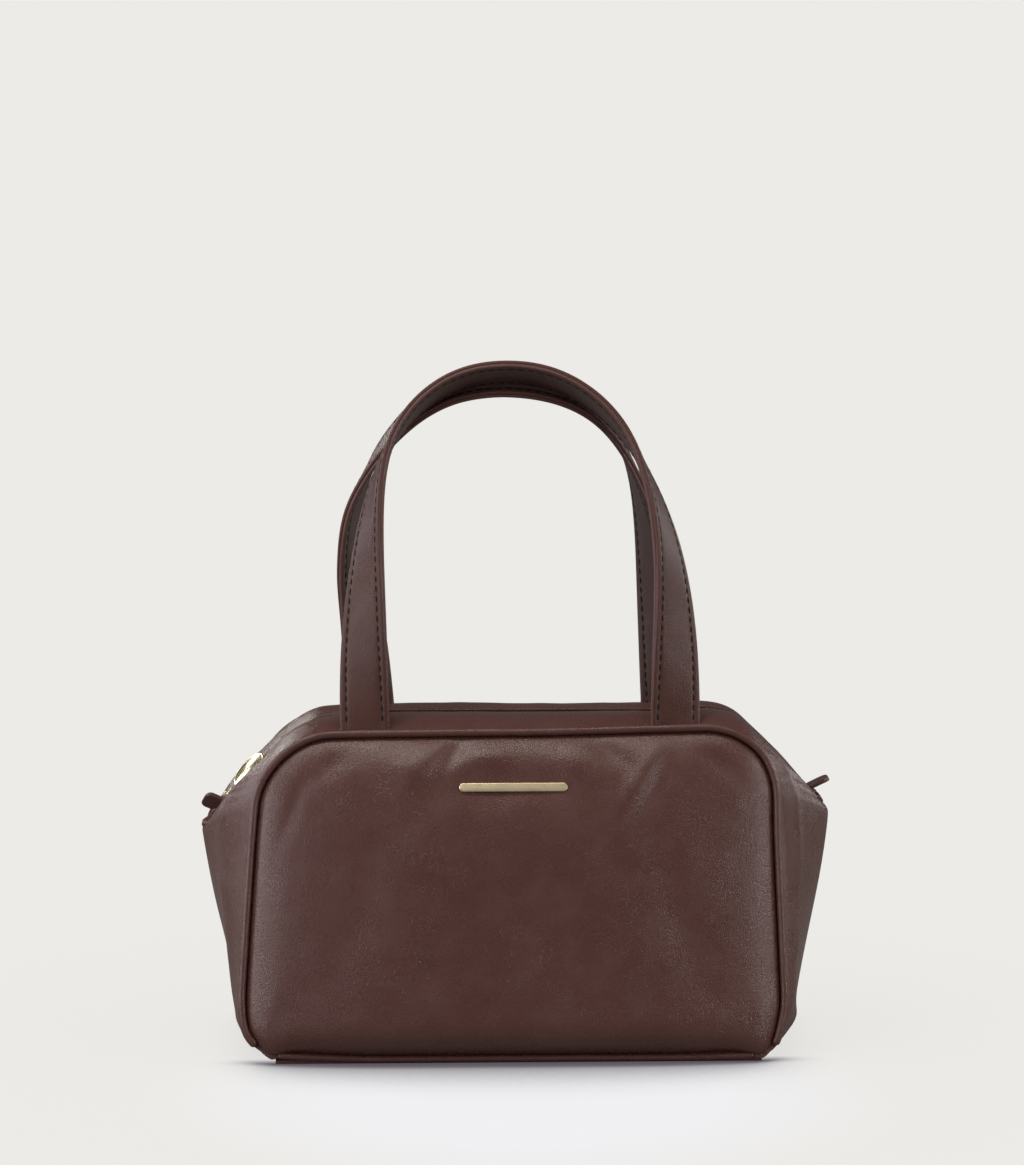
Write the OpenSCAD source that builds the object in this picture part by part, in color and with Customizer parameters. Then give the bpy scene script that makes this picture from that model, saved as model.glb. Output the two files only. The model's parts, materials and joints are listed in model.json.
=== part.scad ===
// A small leather top handle bag. A zip runs over its top and down both sloping shoulders to the
// wings, and two flat straps are sewn in behind the piping of the front and the rear panel.
// Millimetres. X runs along the bag, the front faces -Y, and the base stands on Z = 0.
// Pieces at the rear are the front ones mirrored, apart from what is only at one side.

/* [Panels] */
// Half width of the panel seam at the base
seam_reach_base = 111.6; // [100:0.2:116]
// Half width of the panel seam at the top, before its corners are rounded
seam_reach_top = 105; // [98:0.2:112]
// Height of the panel seam's top run
seam_height = 132.5; // [122:0.5:142]
// Distance of the panel seam from the middle plane at the base
seam_depth_base = 57; // [48:0.5:66]
// Distance of the panel seam from the middle plane at the top
seam_depth_top = 35.3; // [31:0.1:42]
// Rounding of the panel's upper corners
upper_corner_r = 31; // [22:0.5:38]
// Rounding of the panel's lower corners
lower_corner_r = 12; // [8:0.5:18]
// How far the middle of a panel puffs out of its seam
panel_puff = 5.5; // [2:0.25:9]
// Thickness of the body leather
leather = 1.5; // [1:0.1:2]
// Radius of the covered cord in the seam
piping_r = 1.6; // [1:0.1:2.2]
// Radius of the cord inside the piping's cover
piping_core_r = 0.8; // [0.4:0.1:1]
// Height of the piping above the ground
piping_rise = 0.4; // [0.2:0.1:1]

/* [Gusset and top] */
// Distance of a wing tip from the middle of the bag
wing_reach = 130.5; // [124:0.5:138]
// Height of the wing tips
wing_height = 92.5; // [84:0.5:100]
// Distance of the side seam from the middle of the bag at the base
side_reach_base = 115.5; // [113:0.5:119]
// Height of the two ridges beside the zip
ridge_height = 138; // [135:0.5:144]
// Half length of the level top, to where the shoulders would meet it unrounded
top_reach = 88; // [82:0.5:94]
// Rounding of each shoulder
shoulder_r = 24; // [16:1:28]
// Rounding of each wing tip
wing_tip_r = 5; // [3:0.5:8]
// Distance of each ridge from the middle plane
ridge_offset = 10.5; // [9.5:0.25:13]
// Distance of each leather lip beside the zip from the middle plane
lip_offset = 6.2; // [5.6:0.1:7]
// How much the gusset swells between its two seams
gusset_swell = 1.6; // [0:0.1:3]
// Width of the seam allowance that is turned in at the side seams
side_allowance = 4; // [3:0.5:6]
// How far the left shoulder sags below its drawn line
left_sag = 3.2; // [0:0.2:5]
// How far the right shoulder stands above its drawn line
right_rise = 2.8; // [0:0.2:4]

/* [Base] */
// Thickness of the stiff board in the base
board_t = 1.6; // [1:0.1:2.5]

/* [Lining] */
// Thickness of the lining cloth
lining_t = 0.8; // [0.5:0.1:1.2]
// Width of the slip pocket
pocket_w = 130; // [90:1:150]
// Depth of the slip pocket
pocket_d = 62; // [45:1:75]

/* [Zip] */
// Depth of the zip's middle below the ridges
zip_drop = 3; // [2.8:0.1:3.4]
// Distance between two teeth of one row
tooth_pitch = 3.2; // [2.8:0.1:4]
// Height of a tooth
tooth_h = 1.8; // [1.4:0.1:2]
// Thickness of the zip tape
tape_t = 0.5; // [0.3:0.05:0.7]
// Width of each zip tape
tape_w = 11; // [9:0.5:13]
// Length of the slider
slider_l = 7; // [6:0.25:8]
// Width of the slider
slider_w = 8.6; // [8:0.1:9.4]
// Thickness of each plate of the slider
slider_t = 1; // [0.8:0.05:1.2]
// Radius of the wire of the pull link
link_wire_r = 0.6; // [0.45:0.05:0.65]
// Distance between the two ends of the pull link
link_l = 3.4; // [3.3:0.1:4]
// Radius of the pull disc
disc_r = 8.8; // [7:0.1:10]
// Thickness of the pull disc
disc_t = 1.2; // [0.9:0.1:1.4]
// Lean of the resting pull disc towards the rear ridge
disc_lean = 17; // [13:1:20]
// Width of the leather tabs at the zip's ends
tab_w = 8; // [6:0.25:8.5]
// Thickness of the end tabs
tab_t = 2.2; // [1.6:0.1:2.3]
// Length of the end tabs
tab_l = 10; // [8:0.25:12]
// Lean of the end tabs out of the zip's normal
tab_lean = 14; // [6:1:20]

/* [Handles] */
// Width of a strap
strap_w = 20; // [16:0.5:24]
// Thickness of a strap over its three layers
strap_t = 3.2; // [2.4:0.1:3.6]
// Distance of each strap leg from the middle of the bag
leg_reach = 63.5; // [56:0.5:68]
// Height of the middle of the front strap at the top of its arch
front_arch_height = 281; // [255:1:290]
// Height of the middle of the rear strap at the top of its arch
rear_arch_height = 272; // [246:1:281]
// Distance of the front strap from the middle plane at the top of its arch
front_arch_offset = 6.5; // [5:0.5:12]
// Distance of the rear strap from the middle plane at the top of its arch
rear_arch_offset = 7.5; // [6:0.5:12]
// Turn of a strap about its own length between its leg and the top of its arch
strap_turn = 114; // [100:1:120]
// Length of the strap ends that are sewn into the seam
strap_root_l = 12; // [8:0.5:18]

/* [Front bar] */
// Length of the plain metal bar on the front panel
bar_l = 44; // [30:1:60]
// Height of the bar
bar_h = 3.6; // [2.4:0.2:5]
// Thickness of the bar
bar_t = 1; // [0.8:0.1:1.6]
// Height of the bar above the ground
bar_height = 110; // [96:0.5:116]

/* [Hidden] */
$fn = 48;

// Gap between two pieces that are sewn face to face
gap = 0.3;
// Gap between the layers of one strap
layer_gap = 0.1;
// Gap between the two leathers of a side seam, halved
seam_gap = 0.2;
// Overrun of every cut
over = 1;

function lerp(a, b, t) = a + (b - a) * t;
function unit(v) = v / norm(v);

// Points of a rounded corner at b, on the way from a to c
function corner(a, b, c, r, steps) =
  let (
    u = unit(a - b), w = unit(c - b),
    half = acos(min(1, max(-1, u * w))) / 2,
    mid = b + unit(u + w) * r / sin(half),
    p0 = b + u * r / tan(half), p1 = b + w * r / tan(half),
    s0 = p0 - mid, s1 = p1 - mid,
    sweep = 180 - 2 * half
  )
  [for (i = [0:steps]) mid + (s0 * sin(sweep * (1 - i / steps)) + s1 * sin(sweep * i / steps)) / sin(sweep)];

// Points strictly between a and b
function between(a, b, steps) = [for (i = [1:steps - 1]) lerp(a, b, i / steps)];

function last(list) = list[len(list) - 1];
function flip_x(p) = [-p[0], p[1]];
function reversed(list) = [for (i = [len(list) - 1:-1:0]) list[i]];
// A half that runs from a foot to the middle, as one line from the left foot to the right one
function both_sides(half) = concat(
  [for (p = half) flip_x(p)], [for (i = [len(half) - 2:-1:0]) half[i]]);

// Numbers of steps along the seam, shared by the seam and by the ridge above it
corner_steps = 4;
side_steps = 6;
wing_steps = 11;
top_steps = 8;
base_steps = 6;

// The panel's plane leans back, and its seam is drawn in it: x along the bag, h up the plane
seam_foot = piping_rise + piping_r;
lean = atan((seam_depth_base - seam_depth_top) / (seam_height - seam_foot));
seam_rise = (seam_height - seam_foot) / cos(lean);
foot = [seam_reach_base, 0];
head = [seam_reach_top, seam_rise];
foot_middle = [0, 0];
head_middle = [0, seam_rise];
foot_corner = corner(foot_middle, foot, head, lower_corner_r, corner_steps);
head_corner = corner(foot, head, head_middle, upper_corner_r, wing_steps);
seam_side = concat(
  foot_corner, between(last(foot_corner), head_corner[0], side_steps), head_corner,
  between(last(head_corner), head_middle, top_steps));
seam_half = concat(seam_side, [head_middle]);
seam_loop = concat(
  both_sides(seam_half),
  between(foot_corner[0], flip_x(foot_corner[0]), 2 * base_steps));

// A point of the panel's plane: n is its distance in front of the plane
function on_panel(p, n) = [
  p[0],
  -seam_depth_base + p[1] * sin(lean) - n * cos(lean),
  seam_foot + p[1] * cos(lean) + n * sin(lean)
];

// The ridge and side seam over the seam, drawn in the XZ plane with as many points
side_foot = [side_reach_base, 0];
wing_tip = [wing_reach, wing_height];
shoulder = [top_reach, ridge_height];
slope_dir = unit(shoulder - wing_tip);
slope_angle = atan2(slope_dir[1], -slope_dir[0]);
slope_l = norm(shoulder - wing_tip);
shoulder_tangent = shoulder_r * tan(slope_angle / 2);
side_corner = corner(foot_middle, side_foot, wing_tip, lower_corner_r, corner_steps);
tip_corner = corner(side_foot, wing_tip, shoulder, wing_tip_r, 2);
shoulder_corner = corner(wing_tip, shoulder, [0, ridge_height], shoulder_r, 5);
// Distances up the slope at which the zip's valley has begun and is at its full width
valley_start = 7;
valley_end = 11;
ridge_middle = [0, ridge_height];
ridge_half = concat(
  side_corner, between(last(side_corner), tip_corner[0], side_steps), tip_corner,
  [
    wing_tip + slope_dir * valley_start,
    wing_tip + slope_dir * valley_end,
    wing_tip + slope_dir * (valley_end + slope_l - shoulder_tangent) / 2
  ],
  shoulder_corner, between(last(shoulder_corner), ridge_middle, top_steps), [ridge_middle]);

// How far the zip's valley is open at each point of the ridge, from 0 to 1
tip_index = corner_steps + side_steps + 2;
valley_open_shares = [0.25, 0.7];
valley_shares = [for (i = [0:len(ridge_half) - 1])
  i < tip_index ? 0 : i < tip_index + len(valley_open_shares) ? valley_open_shares[i - tip_index] : 1];

// How far a point at x and z hangs below its drawn line: the soft left shoulder sags, and the
// right one stands proud. It begins over the straps' legs and fades out down the side seams.
sag_start = 56;
sag_end = 94;
sag_full = wing_height - 2 * wing_tip_r;
function sag_at(x, z) =
  let (
    t = min(1, max(0, (abs(x) - sag_start) / (sag_end - sag_start))),
    down = pow(min(1, max(0, z / sag_full)), 2)
  )
  (x < 0 ? left_sag : -right_rise) * t * t * (3 - 2 * t) * down;

seam_line = both_sides(seam_half);
ridge_line = [for (p = both_sides(ridge_half)) [p[0], p[1] - sag_at(p[0], p[1])]];
valley_line = concat(valley_shares, [for (i = [len(valley_shares) - 2:-1:0]) valley_shares[i]]);
stations = len(seam_line);

// Outward normal of a line in its own plane, which runs from the left foot to the right one
function out_of(line, i) =
  let (
    a = line[max(0, i - 1)], b = line[min(len(line) - 1, i + 1)],
    d = unit(b - a)
  )
  [-d[1], d[0]];

// The gusset strip leaves the seam behind the piping, and sits a little inside its outline
strip_tuck = piping_r + gap;
strip_out = piping_r * 3 / 4;
function strip_foot(i, out, tuck) = on_panel(seam_line[i] + out_of(seam_line, i) * out, -tuck);
function ridge_at(i, y, drop) =
  let (p = ridge_line[i] - out_of(ridge_line, i) * drop) [p[0], y, p[1]];

// Points across the strip: from the seam to the ridge, then over it into the valley or the seam
lip_drop = 0.95;
across_shares = [0, 0.34, 0.68];
fold_share = 0.4;
// The swell of the strip eases in from the base corners, so that nothing sinks under the base
function swell_at(i) =
  let (t = min(1, max(0, (min(i, stations - 1 - i) - corner_steps / 2) / side_steps)))
  gusset_swell * t * t * (3 - 2 * t);
function strip_row(i) =
  let (
    open = valley_line[i],
    a = strip_foot(i, strip_out, strip_tuck),
    b = ridge_at(i, -lerp(seam_gap, ridge_offset, open), 0),
    o = out_of(ridge_line, i)
  )
  concat(
    [for (t = across_shares)
      lerp(a, b, t) + [o[0], 0, o[1]] * swell_at(i) * 4 * t * (1 - t)],
    [
      b,
      ridge_at(i, -lerp(seam_gap, (ridge_offset + lip_offset) / 2, open),
        lerp(side_allowance, lip_drop, open) * fold_share),
      ridge_at(i, -lerp(seam_gap, lip_offset, open), lerp(side_allowance, lip_drop, open))
    ]);

// Normals of a grid of points, and the grid moved along them
function grid_normal(g, i, j) =
  let (
    m = len(g) - 1, n = len(g[0]) - 1,
    a = g[min(m, i + 1)][j] - g[max(0, i - 1)][j],
    b = g[i][min(n, j + 1)] - g[i][max(0, j - 1)]
  )
  unit(cross(a, b));
function grid_offset(g, d) = [for (i = [0:len(g) - 1])
  [for (j = [0:len(g[0]) - 1]) g[i][j] + grid_normal(g, i, j) * d]];
// The same, kept on its own side of the middle plane
function front_offset(g, d) = [for (row = grid_offset(g, d))
  [for (p = row) [p[0], min(p[1], -seam_gap), p[2]]]];
function flat(lists) = [for (l = lists) for (p = l) p];

// A closed skin between two grids of points with as many rows and columns
module skin(inner, outer) {
  m = len(inner);
  n = len(inner[0]);
  k = m * n;
  function at(i, j) = i * n + j;
  inner_faces = [for (i = [0:m - 2]) for (j = [0:n - 2]) for (f = [
    [at(i, j), at(i + 1, j), at(i + 1, j + 1)],
    [at(i, j), at(i + 1, j + 1), at(i, j + 1)]]) f];
  outer_faces = [for (f = inner_faces) [f[2] + k, f[1] + k, f[0] + k]];
  rim = concat(
    [for (j = [0:n - 2]) [at(0, j), at(0, j + 1)]],
    [for (i = [0:m - 2]) [at(i, n - 1), at(i + 1, n - 1)]],
    [for (j = [n - 1:-1:1]) [at(m - 1, j), at(m - 1, j - 1)]],
    [for (i = [m - 1:-1:1]) [at(i, 0), at(i - 1, 0)]]);
  rim_faces = [for (e = rim) for (f = [
    [e[0], e[1], e[1] + k],
    [e[0], e[1] + k, e[0] + k]]) f];
  polyhedron(concat(flat(inner), flat(outer)), concat(inner_faces, outer_faces, rim_faces));
}

// A closed skin between two sets of rings round one middle point each
module dish(rings_a, middle_a, rings_b, middle_b) {
  m = len(rings_a);
  n = len(rings_a[0]);
  k = m * n + 1;
  function at(i, j) = i * n + j % n;
  faces_a = concat(
    [for (i = [0:m - 2]) for (j = [0:n - 1]) for (f = [
      [at(i, j), at(i + 1, j), at(i + 1, j + 1)],
      [at(i, j), at(i + 1, j + 1), at(i, j + 1)]]) f],
    [for (j = [0:n - 1]) [at(m - 1, j), k - 1, at(m - 1, j + 1)]]);
  faces_b = [for (f = faces_a) [f[2] + k, f[1] + k, f[0] + k]];
  rim = [for (j = [0:n - 1]) for (f = [
    [at(0, j), at(0, j + 1), at(0, j + 1) + k],
    [at(0, j), at(0, j + 1) + k, at(0, j) + k]]) f];
  polyhedron(
    concat(flat(rings_a), [middle_a], flat(rings_b), [middle_b]),
    concat(faces_a, faces_b, rim));
}

module rear() mirror([0, 1, 0]) children();

// Panels
panel_inset = piping_r + gap;
panel_tuck = 0.5;
puff_shares = [0, 0.05, 0.2, 0.55];
panel_middle = [0, seam_rise / 2];
function panel_point(p, share, drop) =
  let (
    edge = [
      p[0] * (1 - panel_inset / seam_reach_base),
      panel_middle[1] + (p[1] - panel_middle[1]) * (1 - panel_inset / panel_middle[1])],
    full = 1 - pow(1 - share, 3)
  )
  on_panel(lerp(edge, panel_middle, share), lerp(-panel_tuck, panel_puff, full) - drop);
function panel_rings(drop) = [for (s = puff_shares) [for (p = seam_loop) panel_point(p, s, drop)]];

module panel() color("#4a302b")
  dish(panel_rings(leather), panel_point(panel_middle, 1, leather),
    panel_rings(0), panel_point(panel_middle, 1, 0));

module in_panel_plane()
  translate([0, -seam_depth_base, seam_foot]) rotate([90 - lean, 0, 0]) children();

// The piping goes all round the seam: a cord, and a leather cover whose edges turn into the seam
cord_line = concat(
  [for (p = concat(foot_corner, head_corner)) flip_x(p)],
  reversed(concat(foot_corner, head_corner)));
function cord_out(i) =
  let (
    n = len(cord_line), d = unit(cord_line[(i + 1) % n] - cord_line[(i + n - 1) % n])
  )
  [-d[1], d[0]];
// Section points are given as distance and angle from the cord's middle
function cord_rings(section) = [for (i = [0:len(cord_line) - 1])
  [for (q = section) on_panel(cord_line[i] + cord_out(i) * q[0] * cos(q[1]), q[0] * sin(q[1]))]];
cord_sides = 6;
cover_sides = 8;
cover_mouth = 225;
cover_mouth_half = 24;
cover_turn = 360 - 2 * cover_mouth_half;
cover_bore_r = (piping_core_r + layer_gap) / cos(cover_turn / (cord_sides - 1) / 2);
cord_section = [for (i = [0:cord_sides - 1]) [piping_core_r, i * 360 / cord_sides]];
cover_section = concat(
  [for (i = [0:cover_sides - 1])
    [piping_r, cover_mouth + cover_mouth_half + i * cover_turn / (cover_sides - 1)]],
  [for (i = [cord_sides - 1:-1:0])
    [cover_bore_r, cover_mouth + cover_mouth_half + i * cover_turn / (cord_sides - 1)]]);

module closed_sweep(rings) {
  m = len(rings);
  k = len(rings[0]);
  polyhedron(flat(rings), [for (i = [0:m - 1]) for (j = [0:k - 1])
    let (a = (i + 1) % m, n = (j + 1) % k) for (f = [
      [i * k + j, a * k + j, a * k + n],
      [i * k + j, a * k + n, i * k + n]]) f]);
}

module piping() color("#553934") closed_sweep(cord_rings(cover_section));
module piping_cord() color("ivory") closed_sweep(cord_rings(cord_section));

// Gusset strips
strip_grid = [for (i = [0:stations - 1]) strip_row(i)];
module gusset_strip() color("#50352f") skin(front_offset(strip_grid, -leather), strip_grid);

// Base
base_reach = foot_corner[0][0] - gap;
base_depth = seam_depth_base - piping_r - gap;
module base_panel() color("#4a302b")
  translate([-base_reach, -base_depth, 0]) cube([2 * base_reach, 2 * base_depth, leather]);

board_inset = 5;
module base_board() color("tan")
  translate([0, 0, leather + gap / 2]) linear_extrude(board_t)
    square([2 * (base_reach - board_inset), 2 * (base_depth - board_inset)], center = true);

module base_lining() color("#b59c7c")
  translate([0, 0, leather + board_t + gap]) linear_extrude(lining_t)
    square([2 * (base_reach - 2 * board_inset), 2 * (base_depth - 2 * board_inset)], center = true);

// Linings: flat cloths behind the two panels, and a strip inside each gusset strip
panel_lining_inset = 2.5;
panel_lining_depth = 4.2;
module panel_lining() color("#b59c7c")
  in_panel_plane() translate([0, 0, -panel_lining_depth - lining_t]) linear_extrude(lining_t)
    polygon([for (p = seam_loop) [
      p[0] * (1 - panel_lining_inset / seam_reach_base),
      panel_middle[1] + (p[1] - panel_middle[1]) * (1 - panel_lining_inset / panel_middle[1])]]);

strip_lining_inset = 3.2;
strip_lining_tuck = panel_lining_depth + 2 * lining_t;
lining_drop_side = side_allowance + leather + 2 * gap;
lining_drop_top = zip_drop + 2 * lining_t;
lining_top_offset = ridge_offset + leather;
lining_across_shares = [0, 1];
lining_grid = [for (i = [0:stations - 1])
  let (
    open = valley_line[i],
    a = strip_foot(i, -strip_lining_inset, strip_lining_tuck),
    b = ridge_at(i, -lerp(seam_gap, lining_top_offset, open),
      lerp(lining_drop_side, lining_drop_top, open))
  )
  [for (t = lining_across_shares) lerp(a, b, t)]];
module gusset_lining() color("#b59c7c") skin(front_offset(lining_grid, -lining_t), lining_grid);

// The slip pocket lies on the lining of the rear panel
pocket_middle_h = seam_rise / 2;
pocket_corner_r = 6;
module slip_pocket() color("#a88d6c")
  in_panel_plane() translate([0, pocket_middle_h, -panel_lining_depth - 2 * lining_t - gap])
    linear_extrude(lining_t) union() {
      square([pocket_w, pocket_d - 2 * pocket_corner_r], center = true);
      square([pocket_w - 2 * pocket_corner_r, pocket_d], center = true);
      for (x = [-1, 1], y = [-1, 1])
        translate([x * (pocket_w / 2 - pocket_corner_r), y * (pocket_d / 2 - pocket_corner_r)])
          circle(r = pocket_corner_r);
    }

// The zip's path: level over the top, round the shoulders and straight down the slopes.
// s is the distance along it from the middle of the bag, and d the distance from a wing tip.
zip_arc_r = shoulder_r - zip_drop;
level_l = top_reach - shoulder_tangent;
bend_l = zip_arc_r * slope_angle * PI / 180;
straight_l = slope_l - shoulder_tangent;
function from_wing(d) = level_l + bend_l + straight_l - d;
function zip_turn(s) =
  let (t = min(1, max(0, (abs(s) - level_l) / bend_l))) sign(s) * t * slope_angle;
function zip_place(s) =
  let (
    a = abs(s), q = abs(zip_turn(s)), down = max(0, a - level_l - bend_l),
    x = min(a, level_l) + zip_arc_r * sin(q) + down * cos(slope_angle),
    z = ridge_height - zip_drop - zip_arc_r * (1 - cos(q)) - down * sin(slope_angle)
  )
  [sign(s) * x, z - sag_at(sign(s) * x, z)];
function zip_point(s, y, w) =
  let (p = zip_place(s), q = zip_turn(s)) [p[0] + w * sin(q), y, p[1] + w * cos(q)];

// On the zip's path: X along it, Y across it, Z out of the bag
module on_zip(s) {
  p = zip_place(s);
  translate([p[0], 0, p[1]]) rotate([0, zip_turn(s), 0]) children();
}

tape_start = valley_end;
tooth_start = tape_start + tooth_pitch;
tooth_reach = 0.8;
tooth_root = 2.6;
tape_edge = tooth_root + layer_gap;
bend_steps = 5;
level_stops = 4;
tape_stops = [for (side = [-1, 1]) concat(
  [side * from_wing(tape_start)],
  [for (i = [0:bend_steps]) side * (level_l + bend_l * (1 - i / bend_steps))],
  [for (i = [1:level_stops]) side * level_l * (1 - i / top_steps)])];
tape_line = concat(tape_stops[0], [for (i = [len(tape_stops[1]) - 1:-1:0]) tape_stops[1][i]]);
tape_end_share = 0.5;
function tape_w_at(i) = i == 0 || i == len(tape_line) - 1 ? tape_w * tape_end_share : tape_w;
function tape_grid(w) = [for (i = [0:len(tape_line) - 1])
  [for (y = [-tape_edge - tape_w_at(i), -tape_edge]) zip_point(tape_line[i], y, w)]];
module zip_tape() color("#3a2a26") skin(tape_grid(-tape_t / 2), tape_grid(tape_t / 2));

// A tooth: its root is clamped on the tape, and its head passes between two heads of the other row
tooth_head = (tooth_pitch - 2 * layer_gap) / 2 / 2 - layer_gap;
waist_share = 0.7;
tooth_waist = tooth_head * waist_share;
tooth_neck = 0.9;
module tooth() translate([0, 0, -tooth_h / 2]) linear_extrude(tooth_h) polygon([
  [-tooth_head, -tooth_root], [tooth_head, -tooth_root], [tooth_waist, -tooth_neck],
  [tooth_head, tooth_reach], [-tooth_head, tooth_reach], [-tooth_waist, -tooth_neck]]);
chain_half = from_wing(tooth_start);
tooth_count = floor((2 * chain_half - tooth_pitch / 2) / tooth_pitch);
module zip_teeth(shift) color("#6b5a45")
  for (i = [0:tooth_count]) on_zip(i * tooth_pitch + shift - chain_half) tooth();

// Two stops where the zip closes, and one across both rows where it opens
stop_l = 1.8;
stop_rise = 0.2;
stop_h = tooth_h + 2 * stop_rise;
stop_start = valley_end + gap;
module zip_stops() color("gold") {
  on_zip(-from_wing(stop_start + stop_l / 2)) for (side = [-1, 1])
    translate([0, side * (tooth_root + gap) / 2, 0])
      cube([stop_l, tooth_root - gap, stop_h], center = true);
  on_zip(from_wing(stop_start + stop_l / 2))
    cube([stop_l, 2 * tooth_root, stop_h], center = true);
}

// End tabs
tab_corner_r = 2.5;
tab_seat = stop_h / 2 + gap + tab_t / 2 * sin(tab_lean);
module end_tab(side) color("#50352f")
  on_zip(side * from_wing(stop_start + stop_l / 2)) mirror([max(0, -side), 0, 0])
    translate([0, 0, tab_seat]) rotate([0, tab_lean, 0]) rotate([90, 0, 90])
      translate([0, 0, -tab_t / 2]) linear_extrude(tab_t) union() {
        translate([-tab_w / 2, 0]) square([tab_w, tab_l - tab_corner_r]);
        translate([tab_corner_r - tab_w / 2, 0]) square([tab_w - 2 * tab_corner_r, tab_l]);
        for (y = [-1, 1]) translate([y * (tab_w / 2 - tab_corner_r), tab_l - tab_corner_r])
          circle(r = tab_corner_r);
      }

// The slider is parked at the left end, with its pull lying up the slope.
// Its wedge between the two plates is left out, because the closed teeth fill that place.
slider_gap = 0.6;
slider_d = stop_start + stop_l + slider_gap + slider_l / 2;
slider_seat = tooth_h / 2 + gap;
flange_in = tooth_root + gap;
flange_w = slider_w / 2 - flange_in;
flange_h = slider_seat - tape_t / 2 - gap;
nose_share = 0.76;
nose_w = slider_w * nose_share;
flange_share = 0.7;
module at_slider() on_zip(-from_wing(slider_d)) children();
module slider_plate() linear_extrude(slider_t) polygon([
  [-slider_l / 2, -slider_w / 2], [slider_l / 5, -slider_w / 2], [slider_l / 2, -nose_w / 2],
  [slider_l / 2, nose_w / 2], [slider_l / 5, slider_w / 2], [-slider_l / 2, slider_w / 2]]);
module slider_half() {
  translate([0, 0, slider_seat]) slider_plate();
  for (side = [-1, 1]) translate([
    -slider_l / 2, side * (flange_in + flange_w / 2) - flange_w / 2, slider_seat - flange_h])
    cube([slider_l * flange_share, flange_w, flange_h + slider_t / 2]);
}

eye_wall = 0.6;
eye_bore_r = link_wire_r + gap;
eye_r = eye_bore_r + eye_wall;
eye_w = 2.2;
bail_axis = slider_seat + slider_t + gap + eye_r;
module across(r, w) rotate([90, 0, 0]) cylinder(r = r, h = w, center = true, $fn = 32);
module zip_slider() color("gold") at_slider() difference() {
  union() {
    slider_half();
    translate([0, 0, bail_axis]) across(eye_r, eye_w);
    translate([-eye_r, -eye_w / 2, slider_seat + slider_t / 2])
      cube([2 * eye_r, eye_w, bail_axis - slider_seat - slider_t / 2]);
  }
  translate([0, 0, bail_axis]) across(eye_bore_r, eye_w + over);
}
module zip_slider_back() color("gold") at_slider() mirror([0, 0, 1]) slider_half();

// The pull: a wire link through the bail, and a plain disc whose eye hangs on the link
link_half = eye_w / 2 + gap + link_wire_r;
module zip_pull_link() color("gold") at_slider() translate([0, 0, bail_axis]) {
  for (x = [0, link_l]) translate([x, 0, 0]) across(link_wire_r, 2 * link_half);
  for (side = [-1, 1]) translate([0, side * link_half, 0]) {
    rotate([0, 90, 0]) cylinder(r = link_wire_r, h = link_l, $fn = 32);
    for (x = [0, link_l]) translate([x, 0, 0]) sphere(r = link_wire_r, $fn = 32);
  }
}

disc_chamfer = 0.3;
disc_side = 3.1;
disc_clear = link_wire_r + gap;
disc_reach = disc_clear + layer_gap + disc_r;
module zip_pull_disc() color("gold")
  at_slider() translate([link_l, 0, bail_axis]) difference() {
    union() {
      across(eye_r, eye_w);
      rotate([disc_lean, 0, 0]) translate([disc_reach, disc_side, 0]) rotate_extrude($fn = 64)
        polygon([[0, -disc_t / 2], [disc_r - disc_chamfer, -disc_t / 2],
          [disc_r, disc_chamfer - disc_t / 2], [disc_r, disc_t / 2 - disc_chamfer],
          [disc_r - disc_chamfer, disc_t / 2], [0, disc_t / 2]]);
      rotate([disc_lean, 0, 0]) translate([eye_r / 2, -eye_w / 2, -disc_t / 2])
        cube([disc_r / 2, eye_w, disc_t]);
    }
    across(eye_bore_r, 2 * link_half + link_wire_r + over);
  }

// Handles: a strap rises behind the piping, turns as it rises, and arches over with its face up.
// Its path is one cubic curve from the foot of a leg to the top, the same at both sides.
strap_foot_y = seam_depth_top - piping_r - gap - strap_t / 2;
strap_foot_rise = 0.9;
strap_foot_z = seam_height + piping_r + gap + strap_foot_rise;
leg_bow = 1;
leg_rise_share = 0.685;
arch_width_share = 0.82;
turn_power = 2.2;
strap_steps = 20;
strap_probe = 0.01;
function cubic(a, b, c, d, t) =
  a * pow(1 - t, 3) + b * 3 * t * pow(1 - t, 2) + c * 3 * t * t * (1 - t) + d * pow(t, 3);
function strap_middle(t, top, offset) =
  let (
    p = cubic([leg_reach, strap_foot_z],
      [leg_reach + leg_bow, lerp(strap_foot_z, top, leg_rise_share)],
      [leg_reach * arch_width_share, top], [0, top], t),
    share = (p[1] - strap_foot_z) / (top - strap_foot_z)
  )
  [p[0], -lerp(strap_foot_y, offset, share), p[1]];
// Middle, width direction and face normal at t
function strap_frame(t, top, offset) =
  let (
    way = unit(strap_middle(min(1, t + strap_probe), top, offset)
      - strap_middle(max(0, t - strap_probe), top, offset)),
    in = unit(cross(way, [0, 1, 0])),
    back = cross(in, way),
    turn = strap_turn * (1 - pow(1 - t, turn_power)),
    w = in * cos(turn) - back * sin(turn)
  )
  [strap_middle(t, top, offset), w, cross(way, w)];
function strap_ring(frame, outline, side) = [for (q = outline)
  let (p = frame[0] + frame[1] * q[0] + frame[2] * q[1]) [p[0] * side, p[1], p[2]]];

// Each four-sided patch of the turned strap is split along its shorter diagonal, so that the
// layers of the strap bend alike
module sweep(rings) {
  m = len(rings);
  k = len(rings[0]);
  faces = concat(
    [[for (j = [0:k - 1]) j]],
    [for (i = [0:m - 2]) for (j = [0:k - 1])
      let (
        n = (j + 1) % k, a = i * k + j, b = a + k, c = (i + 1) * k + n, d = i * k + n,
        ac = norm(rings[i][j] - rings[i + 1][n]), bd = norm(rings[i + 1][j] - rings[i][n])
      )
      for (f = ac < bd ? [[a, b, c], [a, c, d]] : [[a, b, d], [b, c, d]]) f],
    [[for (j = [k - 1:-1:0]) (m - 1) * k + j]]);
  polyhedron(flat(rings), faces);
}

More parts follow.
